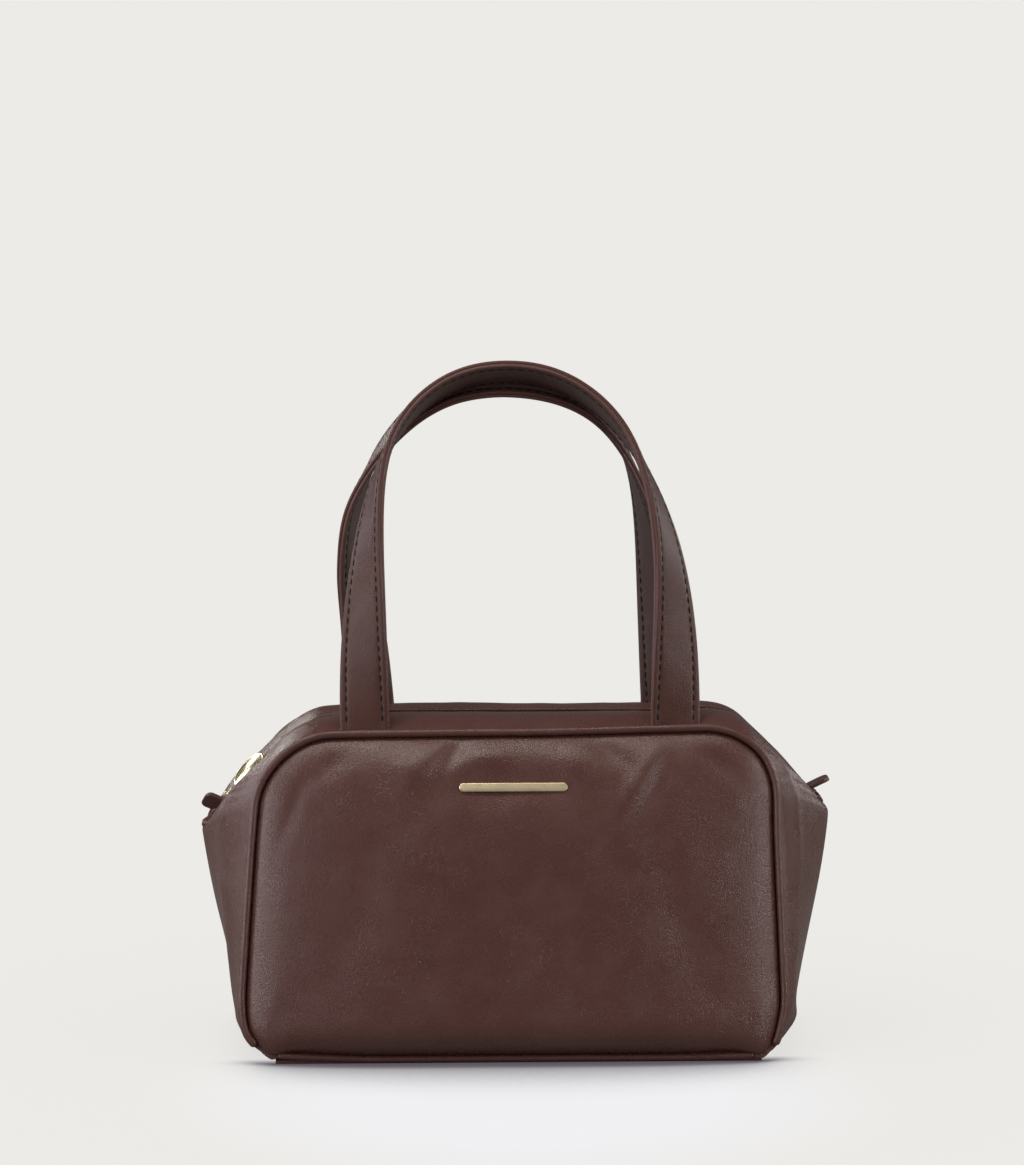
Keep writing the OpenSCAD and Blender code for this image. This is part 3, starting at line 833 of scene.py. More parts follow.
@dataclass(frozen=True)
class Leather:
    """Dyed leather with a pebbled grain, fine creases and a broken sheen."""

    name: str
    colour: tuple[float, float, float] = (0.086, 0.032, 0.026)
    worn: tuple[float, float, float] = (0.112, 0.049, 0.039)
    roughness: float = 0.27
    grain: float = 0.00011
    crease: float = 0.00011
    shine: float = 0.52
    coat: float = 0.06
    edge: bool = False
    edge_colour: tuple[float, float, float] = (0.105, 0.043, 0.036)
    edge_span: tuple[float, float] = (0.955, 0.99)
    clouds: float = 14.0
    mottles: float = 85.0
    pebbles: float = 1900.0
    pores: float = 3600.0
    swirls: float = 210.0
    swirl_width: float = 0.030
    patches: float = 34.0

    def make(self) -> bpy.types.Material:
        """Builds the material.

        Returns:
            The finished material.
        """
        g = Graph(bpy.data.materials.new(self.name))
        at = g.place()
        drift = g.bend(at, 170.0, 0.0022)
        cloud = g.noise(at, self.clouds, 3.0, 0.55)
        mottle = g.noise(at, self.mottles, 4.0, 0.6)
        pebble = 1.0 - g.cells(g.bend(at, 1300.0, 0.0003), self.pebbles) * 1.5
        fine = g.noise(at, self.pores, 2.0, 0.6)
        swirl = g.noise(drift, self.swirls, 2.0, 0.45)
        folds = (swirl - 0.5).maths("ABSOLUTE").span(0.0, self.swirl_width, 1.0, 0.0)
        where = g.noise(at, self.patches, 3.0, 0.6).span(0.42, 0.64)
        high = mottle.span(0.35, 0.75) * 0.5 + cloud.span(0.3, 0.7) * 0.5
        tone = g.blend(high * 0.5, self.colour, self.worn)
        if self.edge:
            across = g.axes(g.add("ShaderNodeUVMap", {"uv_map": "UVMap"}, {}))[1]
            rim = ((across - 0.5).maths("ABSOLUTE") * 2.0).span(*self.edge_span)
            tone = g.blend(rim * 0.8, tone, self.edge_colour)
        creased = g.relief(folds * where, -self.crease, 0.55)
        skin = g.relief(pebble * 0.7 + fine * 0.3, self.grain, 0.9, creased)
        return g.surface(
            Base_Color=tone,
            Roughness=mottle.span(0.3, 0.75, self.roughness - 0.04, self.roughness + 0.08),
            Specular_IOR_Level=self.shine,
            Coat_Weight=self.coat,
            Coat_Roughness=0.25,
            Normal=skin,
        )


@dataclass(frozen=True)
class Metal:
    """Plated metal with faint polishing marks."""

    name: str
    colour: tuple[float, float, float] = (0.89, 0.72, 0.42)
    roughness: float = 0.2
    marks: float = 0.00001
    clouds: float = 420.0
    lines: float = 900.0

    def make(self) -> bpy.types.Material:
        """Builds the material.

        Returns:
            The finished material.
        """
        g = Graph(bpy.data.materials.new(self.name))
        at = g.place()
        haze = g.noise(at, self.clouds, 3.0, 0.6)
        lines = g.noise(g.place((1.0, 14.0, 1.0), 0.8), self.lines, 2.0, 0.7)
        return g.surface(
            Base_Color=g.blend(haze * 0.12, self.colour, tuple(c * 0.85 for c in self.colour)),
            Metallic=1.0,
            Roughness=haze.span(0.3, 0.8, self.roughness, self.roughness + 0.08),
            Normal=g.relief(lines, self.marks, 0.4),
        )


@dataclass(frozen=True)
class Cloth:
    """Plain woven cloth or tape."""

    name: str
    colour: tuple[float, float, float]
    threads: float = 1600.0
    slubs: float = 600.0
    depth: float = 0.00012

    def make(self) -> bpy.types.Material:
        """Builds the material.

        Returns:
            The finished material.
        """
        g = Graph(bpy.data.materials.new(self.name))
        x, y, z = g.axes(g.place())
        warp = ((x + z) * self.threads).maths("SINE")
        weft = ((y + z * 0.6) * self.threads).maths("SINE")
        weave = (warp * weft) * 0.5 + 0.5
        slub = g.noise(g.place(), self.slubs, 3.0, 0.6)
        dark = tuple(c * 0.62 for c in self.colour)
        return g.surface(
            Base_Color=g.blend(weave * 0.6 + slub * 0.4, dark, self.colour),
            Roughness=0.86,
            Sheen_Weight=0.15,
            Normal=g.relief(weave * 0.8 + slub * 0.2, self.depth, 0.7),
        )


@dataclass(frozen=True)
class Thread:
    """Twisted sewing thread."""

    name: str
    colour: tuple[float, float, float] = (0.012, 0.007, 0.006)
    twists: float = 9000.0
    depth: float = 0.00006

    def make(self) -> bpy.types.Material:
        """Builds the material.

        Returns:
            The finished material.
        """
        g = Graph(bpy.data.materials.new(self.name))
        x, y, z = g.axes(g.place())
        twist = ((x + y + z) * self.twists).maths("SINE") * 0.5 + 0.5
        return g.surface(
            Base_Color=g.blend(twist * 0.5, self.colour, tuple(c * 1.8 for c in self.colour)),
            Roughness=0.85,
            Specular_IOR_Level=0.2,
            Normal=g.relief(twist, self.depth, 0.6),
        )


@dataclass(frozen=True)
class Board:
    """Pressed fibre board."""

    name: str
    colour: tuple[float, float, float] = (0.20, 0.13, 0.08)
    fibres: float = 300.0
    depth: float = 0.0001

    def make(self) -> bpy.types.Material:
        """Builds the material.

        Returns:
            The finished material.
        """
        g = Graph(bpy.data.materials.new(self.name))
        fibre = g.noise(g.place((1.0, 4.0, 1.0)), self.fibres, 4.0, 0.65)
        return g.surface(
            Base_Color=g.blend(fibre, tuple(c * 0.7 for c in self.colour), self.colour),
            Roughness=0.8,
            Normal=g.relief(fibre, self.depth, 0.5),
        )


@dataclass(frozen=True)
class Finishes:
    """All the finishes of the bag, made once."""

    body: bpy.types.Material
    piping: bpy.types.Material
    strap: bpy.types.Material
    backing: bpy.types.Material
    gold: bpy.types.Material
    satin: bpy.types.Material
    zip_metal: bpy.types.Material
    tape: bpy.types.Material
    lining: bpy.types.Material
    filler: bpy.types.Material
    thread: bpy.types.Material
    board: bpy.types.Material
    strap_plain: bpy.types.Material

    @classmethod
    def make(cls) -> "Finishes":
        """Builds every finish.

        Returns:
            The finishes, ready to be given to pieces.
        """
        return cls(
            body=Leather("body_leather").make(),
            piping=Leather("piping_leather", roughness=0.30, crease=0.00006).make(),
            strap=Leather(
                "strap_leather",
                colour=(0.061, 0.025, 0.021),
                roughness=0.34,
                crease=0.00006,
                shine=0.24,
                edge=True,
            ).make(),
            backing=Leather(
                "backing_leather", colour=(0.052, 0.026, 0.022), roughness=0.45, edge=True
            ).make(),
            gold=Metal("pale_gold", colour=(0.95, 0.81, 0.53), roughness=0.18).make(),
            satin=Metal("satin_gold", colour=(1.0, 0.84, 0.56), roughness=0.30).make(),
            zip_metal=Metal("zip_metal", colour=(0.62, 0.47, 0.27), roughness=0.28).make(),
            tape=Cloth("zip_tape", (0.040, 0.024, 0.021), 3100.0).make(),
            lining=Cloth("lining_cloth", (0.44, 0.32, 0.21), 2600.0).make(),
            filler=Cloth("filler_cord", (0.60, 0.55, 0.45), 2800.0).make(),
            thread=Thread("dark_thread").make(),
            board=Board("stiff_board").make(),
            strap_plain=Leather("tab_leather", roughness=0.45, crease=0.00012).make(),
        )


@dataclass
class Studio:
    """The camera, the pale floor and the soft lamps."""

    eye: tuple[float, float, float] = (-0.0601, -1.6924, 0.3388)
    aim: tuple[float, float, float] = (-0.001, 0.0, 0.1906)
    lens: float = 126.57
    sensor: float = 36.0
    middle: float = 0.10
    floor_reach: float = 20.0
    paper: tuple[float, float, float] = (0.838, 0.830, 0.799)
    glow: tuple[float, float, float] = (0.885, 0.880, 0.905)
    sky: tuple[float, float, float] = (0.92, 0.93, 0.95)
    ambient: float = 0.125
    bounce: float = 0.30
    flatness: float = 0.92
    shadow: tuple[float, float, float] = (0.100, 0.088, 0.110)
    shadow_reach: float = 0.105
    shadow_front: tuple[float, float] = (-0.056, -0.044)
    shadow_side: tuple[float, float] = (0.098, 0.132)
    shadow_span: tuple[float, float] = (0.43, 0.88)
    pool_y: float = 0.12
    pool_narrow: tuple[float, float] = (6.4, 6.2)
    flat_span: tuple[float, float] = (0.14, 0.34)

    def build(self) -> None:
        """Places the camera, the floor, the world and the lamps."""
        self.camera()
        self.floor()
        self.world()
        self.lamps()

    def camera(self) -> None:
        """Sets the camera where the photograph was taken from."""
        data = bpy.data.cameras.new("camera")
        data.lens, data.sensor_width, data.sensor_fit = self.lens, self.sensor, "AUTO"
        data.clip_start, data.clip_end = 0.05, 60.0
        made = bpy.data.objects.new("camera", data)
        made.location = self.eye
        way = Vector(self.aim) - Vector(self.eye)
        made.rotation_euler = way.to_track_quat("-Z", "Y").to_euler()
        bpy.context.scene.collection.objects.link(made)
        bpy.context.scene.camera = made

    def floor(self) -> None:
        """Lays a pale floor whose colour holds a painted shadow and a painted pool of light in
        front of the bag; a small lit share keeps a faint real shadow.
        """
        bm = bmesh.new()
        bmesh.ops.create_grid(bm, x_segments=2, y_segments=2, size=self.floor_reach)
        mesh = bpy.data.meshes.new("floor")
        bm.to_mesh(mesh)
        bm.free()
        made = bpy.data.objects.new("floor", mesh)
        bpy.context.scene.collection.objects.link(made)
        g = Graph(bpy.data.materials.new("pale_floor"))
        x, y, _ = g.axes(g.place())
        # Painted pool of light: in front of the bag the floor's colour turns from paper towards the
        # pale glow colour.
        aside, ahead = x * self.pool_narrow[0], (y + self.pool_y) * self.pool_narrow[1]
        pool = (aside**2.0 + ahead**2.0).span(0.10, 1.0, 1.0, 0.0)
        # Painted shadow: where ambient occlusion finds the bag close, the floor's colour darkens
        # towards the shadow colour.
        near = {"Color": (1.0, 1.0, 1.0, 1.0), "Distance": self.shadow_reach}
        open_sky = g.add("ShaderNodeAmbientOcclusion", {"samples": 16}, near, "AO")
        seen = g.add("ShaderNodeLightPath", {}, {}, "Is Camera Ray")
        dim = tuple(c * self.bounce for c in self.paper)
        lit = g.add("ShaderNodeBsdfDiffuse", {}, {"Color": g.blend(seen, dim, self.paper)})
        front = y.span(*self.shadow_front, 1.0, 0.12)
        front = front * x.maths("ABSOLUTE").span(*self.shadow_side, 1.0, 0.05)
        dark = (1.0 - open_sky.span(*self.shadow_span)) * front
        tone = g.blend(dark, g.blend(pool, self.paper, self.glow), self.shadow)
        flat = g.add("ShaderNodeEmission", {}, {"Color": tone, "Strength": 1.0})
        far = ((x * x + y * y) ** 0.5).span(*self.flat_span)
        share = seen * (far * (1.0 - self.flatness) + self.flatness)
        g.close(g.add("ShaderNodeMixShader", {}, {0: share, 1: lit, 2: flat}))
        mesh.materials.append(g.owner)

    def world(self) -> None:
        """Gives the world the paper's colour to the camera and a faint plain light to the bag."""
        world = bpy.data.worlds.new("studio")
        bpy.context.scene.world = world
        g = Graph(world, "ShaderNodeOutputWorld")
        seen = g.add("ShaderNodeLightPath", {}, {}, "Is Camera Ray")
        soft = g.add("ShaderNodeBackground", {}, {"Color": self.sky, "Strength": self.ambient})
        paper = g.add("ShaderNodeBackground", {}, {"Color": self.paper})
        g.close(g.add("ShaderNodeMixShader", {}, {0: seen, 1: soft, 2: paper}))

    def lamp(
        self,
        name: str,
        at: tuple[float, float, float],
        size: tuple[float, float],
        watts: float,
        colour: tuple[float, float, float] = (1.0, 1.0, 1.0),
    ) -> None:
        """Hangs a rectangular soft lamp that looks at the bag.

        Args:
            name: Name of the lamp.
            at: Its place in metres.
            size: Its width and height in metres.
            watts: Its power.
            colour: The colour of its light.
        """
        data = bpy.data.lights.new(name, "AREA")
        data.shape, data.size, data.size_y = "RECTANGLE", *size
        data.energy, data.color = watts, colour
        made = bpy.data.objects.new(name, data)
        made.location = at
        way = Vector((0.0, 0.0, self.middle)) - Vector(at)
        made.rotation_euler = way.to_track_quat("-Z", "Y").to_euler()
        made.visible_camera = False
        bpy.context.scene.collection.objects.link(made)

    def around(
        self, turn: float, height: float, distance: float = 1.75
    ) -> tuple[float, float, float]:
        """A place on a ball round the bag.

        Args:
            turn: Degrees round from the front, positive towards the right hand.
            height: Degrees above the middle of the bag.
            distance: Metres from the middle of the bag.

        Returns:
            The place in metres.
        """
        flat, up = math.radians(turn), math.radians(height)
        reach = distance * math.cos(up)
        rise = self.middle + distance * math.sin(up)
        return (reach * math.sin(flat), -reach * math.cos(flat), rise)

    def lamps(self) -> None:
        """Hangs the lamps: soft boxes at both sides and high up, none of them strong."""
        warm, cool, plain = (1.0, 0.945, 0.85), (0.94, 0.94, 1.0), (1.0, 0.975, 0.95)
        self.lamp("over", self.around(0.0, 70.0), (1.2, 0.6), 7.4, warm)
        self.lamp("high_left", self.around(-52.0, 60.0), (0.6, 0.6), 7.5, plain)
        self.lamp("high_front", self.around(-5.0, 34.0), (1.4, 0.3), 0.6, warm)
        self.lamp("left_front", self.around(-50.0, 10.0), (0.35, 1.0), 6.6, cool)
        self.lamp("left_middle", self.around(-30.0, 12.0), (0.30, 0.9), 1.2, cool)
        self.lamp("left_side", self.around(-80.0, 16.0), (0.5, 0.9), 9.5, plain)
        self.lamp("left_rear", self.around(-125.0, 14.0), (0.5, 0.9), 4.0, cool)
        self.lamp("right_front", self.around(48.0, 10.0), (0.12, 1.1), 6.4, plain)
        self.lamp("right_side", self.around(78.0, 22.0), (0.6, 0.8), 8.6, plain)
        self.lamp("right_rear", self.around(125.0, 14.0), (0.5, 0.9), 4.2, plain)
        self.lamp("disc_glint", self.around(-148.0, 24.0), (0.35, 0.35), 3.0, (1.0, 0.99, 0.93))


@dataclass(frozen=True)
class Dent:
    """A shallow pull in the leather of a panel, in the panel's plane."""

    x: float
    h: float
    reach: float
    rise: float
    depth: float
    turn: float = 0.0

    def at(self, x: float, h: float) -> float:
        """How far the dent sinks the leather at a point.

        Args:
            x: The point's place along X.
            h: Its height in the panel's plane.

        Returns:
            The depth, negative where the dent is a swelling.
        """
        c, s = math.cos(self.turn), math.sin(self.turn)
        dx, dh = x - self.x, h - self.h
        u, v = (dx * c + dh * s) / self.reach, (dh * c - dx * s) / self.rise
        return self.depth * math.exp(-(u * u + v * v))


@dataclass
class Panel:
    """A puffed panel of leather inside its piped seam."""

    side: Side
    tuck: float = 2.1
    under: float = 1.5
    edge_rise: float = 4.6
    crown: float = 7.0
    crown_width: float = 58.0
    foot_crown: float = 18.0
    edge_width: float = 15.0
    foot_width: float = 7.0
    middle_rise: float = 0.6
    middle_at: float = 0.42
    middle_reach: float = 0.6
    crown_flank: float = 72.0
    foot_blend: tuple[float, float] = (2.0, 34.0)
    wave: float = 0.42
    wave_fine: float = 0.4
    wave_pitch: tuple[float, float] = (30.0, 24.0)
    wave_start: float = 16.0
    corner_at: float = 103.0
    corner_reach: float = 9.0
    corner_height: float = 12.0
    corner_sag: float = 2.3
    corner_swell: float = 1.8
    inset: float = 0.4
    crowding: float = 0.05
    thickness: float = 1.3
    columns: int = 170
    rows: int = 124
    dents: tuple[Dent, ...] = field(default_factory=tuple)

    def puff(self, x: float, h: float) -> float:
        """How far the leather stands in front of the seam's plane.

        Args:
            x: The point's place along X.
            h: Its height in the panel's plane.

        Returns:
            The distance, negative where the leather dives under the piping.
        """
        d = max(0.0, FORM.from_seam(x, h) - self.under)
        width = lerp(self.foot_width, self.edge_width, ease(*self.foot_blend, h))
        u = 1.0 - min(1.0, d / width)
        roll = math.sqrt(max(0.0, 1.0 - u * u))
        wide = max(0.0, 1.0 - (x / FORM.seam_reach_base) ** 2)
        from_middle = h - self.middle_at * FORM.seam_rise
        tall = max(0.0, 1.0 - (from_middle / (self.middle_reach * FORM.seam_rise)) ** 2)
        out = -self.tuck + self.edge_rise * roll + self.middle_rise * (wide * tall) ** 0.8
        out += self.crown_rise(x, h)
        at = Vector((x / self.wave_pitch[0], h / self.wave_pitch[1], 5.0 + self.side.value))
        wave = noise.noise(at) * self.wave + noise.noise(at * 2.2) * self.wave * self.wave_fine
        wave *= ease(0.0, self.wave_start, d)
        return out + wave - sum(p.at(x, h) for p in self.dents) * roll

    def crown_rise(self, x: float, h: float) -> float:
        """How far the panel's broad crown lifts the leather at a point.

        Args:
            x: The point's place along X.
            h: Its height in the panel's plane.

        Returns:
            The lift, whole in the middle and none at the seam.
        """
        up = 1.0 - min(1.0, max(0.0, FORM.seam_rise - self.under - h) / self.crown_width)
        from_side = max(0.0, FORM.seam_reach(h) - self.under - abs(x))
        aside = 1.0 - min(1.0, from_side / self.crown_flank)
        low = 1.0 - min(1.0, max(0.0, h - self.under) / self.foot_crown)
        return self.crown * (1.0 - up * up) * (1.0 - aside * aside) * (1.0 - low**3)

    def place(self, u: float, v: float) -> Vector:
        """The point of the panel at its shares across and up, closer set towards the edges.

        Args:
            u: Share of the way across, from the left.
            v: Share of the way up, from the foot.

        Returns:
            The point in millimetres.
        """
        h = (0.5 - 0.5 * math.cos(math.pi * v)) * (FORM.seam_rise - 2 * self.inset) + self.inset
        reach = FORM.seam_reach(h) - self.inset
        turn = math.pi * lerp(self.crowding, 1.0 - self.crowding, u)
        x = (0.5 - 0.5 * math.cos(turn)) * 2.0 - 1.0
        x = reach * x / math.cos(math.pi * self.crowding)
        at, n = FORM.settle(Vector((x, h)), self.side), self.puff(x, h)
        if self.side is Side.FRONT and h < self.corner_height:
            heavy = bump_at(abs(x), self.corner_at, self.corner_reach)
            heavy *= (1.0 - h / self.corner_height) ** 2
            at.y -= self.corner_sag * heavy
            n += self.corner_swell * heavy
        p = FORM.on_panel(at, n)
        p.y *= -self.side.value
        return p

    def build(self, finishes: Finishes) -> bpy.types.Object:
        """Builds the leather of the panel.

        Args:
            finishes: The finishes of the bag.

        Returns:
            The panel's object.
        """
        shell = Shell(f"{self.side.label}_panel_leather").grid(self.columns, self.rows, self.place)
        shell.face_away(INSIDE)
        piece = shell.piece(finishes.body, "body_leather")
        solid(piece, self.thickness)
        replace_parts(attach(piece, "bag"), f"{self.side.label}_panel")
        return piece


@dataclass
class Piping:
    """The leather-covered cord in the seam round one panel."""

    side: Side
    radius: float = 1.6
    filler: float = 0.95
    sides: int = 14
    pitch: float = 2.2
    low_end: float = 0.62
    foot_short: float = 14.5
    foot_sink: float = 0.5
    foot_sink_span: tuple[float, float] = (60.0, 97.0)
    lumps: float = 0.06
    foot_scale: float = 0.8
    foot_back: float = 0.6

    @cached_property
    def upper(self) -> list[Vector]:
        """The run up one side, over the top and down the other side.

        Returns:
            Its points in the panel's plane.
        """
        line = FORM.seam_line
        skip = round(FORM.corner_steps * self.low_end)
        return self.even(line[skip : len(line) - skip])

    @cached_property
    def lower(self) -> list[Vector]:
        """The run along the foot of the panel, which ends under the leather at both corners.

        Returns:
            Its points in the panel's plane.
        """
        reach = FORM.seam_reach_base - self.foot_short
        half = 30
        line = [Vector((reach * (1 - i / half), 0.0)) for i in range(2 * half + 1)]
        for p in line:
            p.y -= self.foot_sink * ease(*self.foot_sink_span, abs(p.x))
        return self.even(line)

    def even(self, line: list[Vector]) -> list[Vector]:
        """The settled line at an even pitch.

        Args:
            line: Points of the line as drawn.

        Returns:
            The new points, the first and the last of them at its ends.
        """
        line = [FORM.settle(p, self.side) for p in line]
        lengths = [0.0]
        for a, b in zip(line, line[1:]):
            lengths.append(lengths[-1] + (b - a).length)
        count = round(lengths[-1] / self.pitch)
        made, k = [], 0
        for i in range(count + 1):
            want = lengths[-1] * i / count
            while k < len(lengths) - 2 and lengths[k + 1] < want:
                k += 1
            share = (want - lengths[k]) / (lengths[k + 1] - lengths[k])
            made.append(line[k].lerp(line[k + 1], share))
        return made

    def tube(self, name: str, line: list[Vector], radius: float, sunk: float) -> Shell:
        """Lofts a round tube with round ends along a line of the panel's plane.

        Args:
            name: Name of the piece.
            line: Points of the line.
            radius: Radius of the tube.
            sunk: How far its middle lies behind the panel's plane.

        Returns:
            The closed shell.
        """
        ends = 5
        last = len(line) - 1
        count = last + 2 * ends

        def place(u: float, v: float) -> Vector:
            """The point of the tube at its shares along and round.

            Args:
                u: Share of the way along, its round ends included.
                v: Share of the way round.

            Returns:
                The point in millimetres.
            """
            j = round(u * count)
            i = min(last, max(0, j - ends))
            a, b = line[max(0, i - 1)], line[min(last, i + 1)]
            way = (b - a).normalized()
            out = Vector((-way.y, way.x))
            over = max(ends - j, j - ends - last, 0) / ends * math.pi / 2
            way_out = way if j > ends else -way
            p = line[i] + way_out * (radius * math.sin(over))
            turn = 2.0 * math.pi * v
            lumps = noise.noise(Vector((p.x, p.y, 9.0 * self.side.value)) * 0.16)
            r = radius * (1.0 + self.lumps * lumps) * max(0.02, math.cos(over))
            at = FORM.on_panel(p + out * (r * math.cos(turn)), r * math.sin(turn) - sunk)
            at.y *= -self.side.value
            return at

        shell = Shell(name).grid(count, self.sides, place, True)
        rims = [e for e in shell.bm.edges if len(e.link_faces) == 1]
        bmesh.ops.holes_fill(shell.bm, edges=rims)
        bmesh.ops.recalc_face_normals(shell.bm, faces=shell.bm.faces)
        return shell

    def build(self, finishes: Finishes) -> None:
        """Builds the cover and the cord of both runs.

        Args:
            finishes: The finishes of the bag.
        """
        body = f"{self.side.label}_piping"
        runs = (
            ("", self.upper, 1.0, 0.0),
            ("_foot", self.lower, self.foot_scale, self.foot_back),
        )
        for run, line, scale, sunk in runs:
            cover = self.tube(f"{body}_cover{run}", line, self.radius * scale, sunk)
            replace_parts(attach(cover.piece(finishes.piping, "piping_leather"), "bag"), body)
            cord = self.tube(f"{body}_filler{run}", line, self.filler * scale, sunk)
            piece = cord.piece(finishes.filler, "filler_cord")
            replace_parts(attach(piece, "bag"), f"{body}_cord")


@dataclass(frozen=True)
class Fold:
    """A fold that runs up one side of a gusset strip, between two heights."""

    lift: float
    at: float
    width: float
    starts: tuple[float, float]
    ends: tuple[float, float]

    def strength(self, z: float) -> float:
        """Share of the fold that is there at a height."""
        return ease(*self.starts, z) * (1.0 - ease(*self.ends, z))


@dataclass
class GussetStrip:
    """The strip that runs up one side, over the top beside the zip and down the other side."""

    side: Side
    swell: float = 2.2
    clear: float = 0.3
    foot_out: float = 0.9
    foot_back: float = 1.5
    closed: float = 0.1
    closed_lip: float = 3.5
    fold_radius: tuple[float, float] = (1.3, 2.4)
    rumple: float = 0.5
    rumple_fine: float = 0.16
    rumple_pitch: float = 21.0
    thickness: float = 1.2
    rear_fold: Fold = Fold(lift=0.8, at=0.5, width=0.2, starts=(6.0, 34.0), ends=(90.0, 120.0))
    left_fold: Fold = Fold(lift=1.5, at=0.47, width=0.15, starts=(6.0, 34.0), ends=(96.0, 122.0))
    right_fold: Fold = Fold(lift=2.1, at=0.0, width=0.06, starts=(4.0, 24.0), ends=(104.0, 124.0))
    right_run: tuple[float, ...] = (0.18, 0.21, 0.27, 0.28, 0.19, 0.02)
    right_run_low: float = 5.0
    right_run_rise: float = 115.0
    hollow: float = 0.8
    slack: dict[Side, float] = field(default_factory=lambda: {Side.FRONT: 0.6, Side.REAR: -1.7})
    slack_starts: tuple[float, float] = (80.0, 94.0)
    slack_ends: tuple[float, float] = (113.0, 123.0)
    dip: Bump = Bump(size=-0.9, middle=82.0, width=10.0)
    dip_above: float = 100.0
    wing: Bump = Bump(size=1.0, middle=112.0, width=13.0)
    wing_above: float = 94.0
    spread: Bump = Bump(size=2.2, middle=6.0, width=7.0)
    rise_steps: int = 24
    fold_steps: int = 6
    lip_steps: int = 5

    def crest(self, hand: Hand, z: float, s: float) -> float:
        """How far the fold down a side of the bag lifts the leather.

        Args:
            hand: The end of the bag: a broad soft fold at the left, a pinched one at the right.
            z: Height of the station.
            s: Share of the way from the seam to the ridge.

        Returns:
            The lift along the ridge's outward normal.
        """
        if self.side is Side.REAR or hand is Hand.LEFT:
            fold = self.rear_fold if self.side is Side.REAR else self.left_fold
            return fold.lift * bump_at(s, fold.at, fold.width) * fold.strength(z)
        fold = self.right_fold
        share = (z - self.right_run_low) / self.right_run_rise
        middle = fold.at + through(self.right_run, share)
        width = fold.width if s > middle else max(0.03, middle * 0.42)
        hollow = self.hollow * bump_at(s, middle * 0.4, 0.07)
        return (fold.lift * bump_at(s, middle, width) - hollow) * fold.strength(z)

    def slump(self, at: Vector, out: Vector) -> Vector:
        """How far the soft ridge has moved from its drawn line at a point.

        Args:
            at: The point of the ridge in the XZ plane.
            out: The ridge's outward normal there.

        Returns:
            The move in the XZ plane.
        """
        if at.x < 0:
            share = ease(*self.slack_starts, -at.x) * (1.0 - ease(*self.slack_ends, -at.x))
            return out * share * self.slack[self.side]
        low = self.dip.at(at.x) if at.y > self.dip_above else 0.0
        wide = self.wing.at(at.x) if at.y > self.wing_above else 0.0
        return Vector((self.spread.at(at.y), low)) + out * wide

    def section(self, i: int) -> list[Vector]:
        """The points across the strip at a station, from the piping to the lip's edge.

        Args:
            i: Number of the station, from the left foot over the top to the right foot.

        Returns:
            The points in millimetres.
        """
        seam, ridge = FORM.seam_line, FORM.ridge_line
        foot = FORM.settle(seam[i] + out_of(seam, i) * self.foot_out, self.side)
        foot = FORM.on_panel(foot, -self.foot_back)
        opened = FORM.valley_line[i]
        o2 = out_of(ridge, i)
        out = Vector((o2.x, 0.0, o2.y))
        fold_y = -lerp(self.closed, FORM.ridge_offset, opened)
        lip_y = -lerp(self.closed, FORM.lip_offset, opened)
        at = ridge[i] + self.slump(ridge[i], o2)
        top = Vector((at.x, fold_y, at.y))
        lip = Vector((at.x, lip_y, at.y)) - out * lerp(self.closed_lip, FORM.lip_drop, opened)
        hand = Hand.LEFT if at.x < 0 else Hand.RIGHT
        end = min(i, len(seam) - 1 - i)
        swell = self.swell * ease(2.0, 26.0, end)
        points = []
        radius = lerp(*self.fold_radius, opened)
        span = (top - foot).length
        stop = 1.0 - radius / span
        for k in range(self.rise_steps + 1):
            s = stop * (k / self.rise_steps)
            flat = foot.lerp(top, s)
            lift = swell * 4.0 * s * (1.0 - s) + self.crest(hand, at.y, s)
            where = Vector((flat.x, flat.z, 3.0 * self.side.value)) / self.rumple_pitch
            rumple = noise.noise(where) * self.rumple
            rumple += noise.noise(where * 2.6) * self.rumple_fine
            lift += rumple * ease(0.0, 0.25, s) * ease(0.0, 0.2, 1.0 - s)
            points.append(flat + out * lift)
        start = points[-1]
        end_point = top + (lip - top).normalized() * min(radius, 0.6 * (lip - top).length)
        for k in range(1, self.fold_steps + 1):
            t = k / self.fold_steps
            points.append(start * (1 - t) ** 2 + top * (2 * t * (1 - t)) + end_point * (t * t))
        for k in range(1, self.lip_steps + 1):
            points.append(end_point.lerp(lip, k / self.lip_steps))
        for p in points:
            p.y *= -self.side.value
            p.z = max(p.z, self.clear)
        return points

    def build(self, finishes: Finishes) -> bpy.types.Object:
        """Builds the leather of the strip.

        Args:
            finishes: The finishes of the bag.

        Returns:
            The strip's object.
        """
        rows = [self.section(i) for i in range(len(FORM.seam_line))]
        along_steps, across_steps = len(rows) - 1, len(rows[0]) - 1
        shell = Shell(f"{self.side.label}_gusset_leather").grid(
            along_steps,
            across_steps,
            lambda u, v: rows[round(u * along_steps)][round(v * across_steps)],
        )
        shell.face_away(INSIDE)
        piece = shell.piece(finishes.body, "body_leather")
        solid(piece, self.thickness)
        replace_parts(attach(piece, "bag"), f"{self.side.label}_gusset_strip")
        return piece


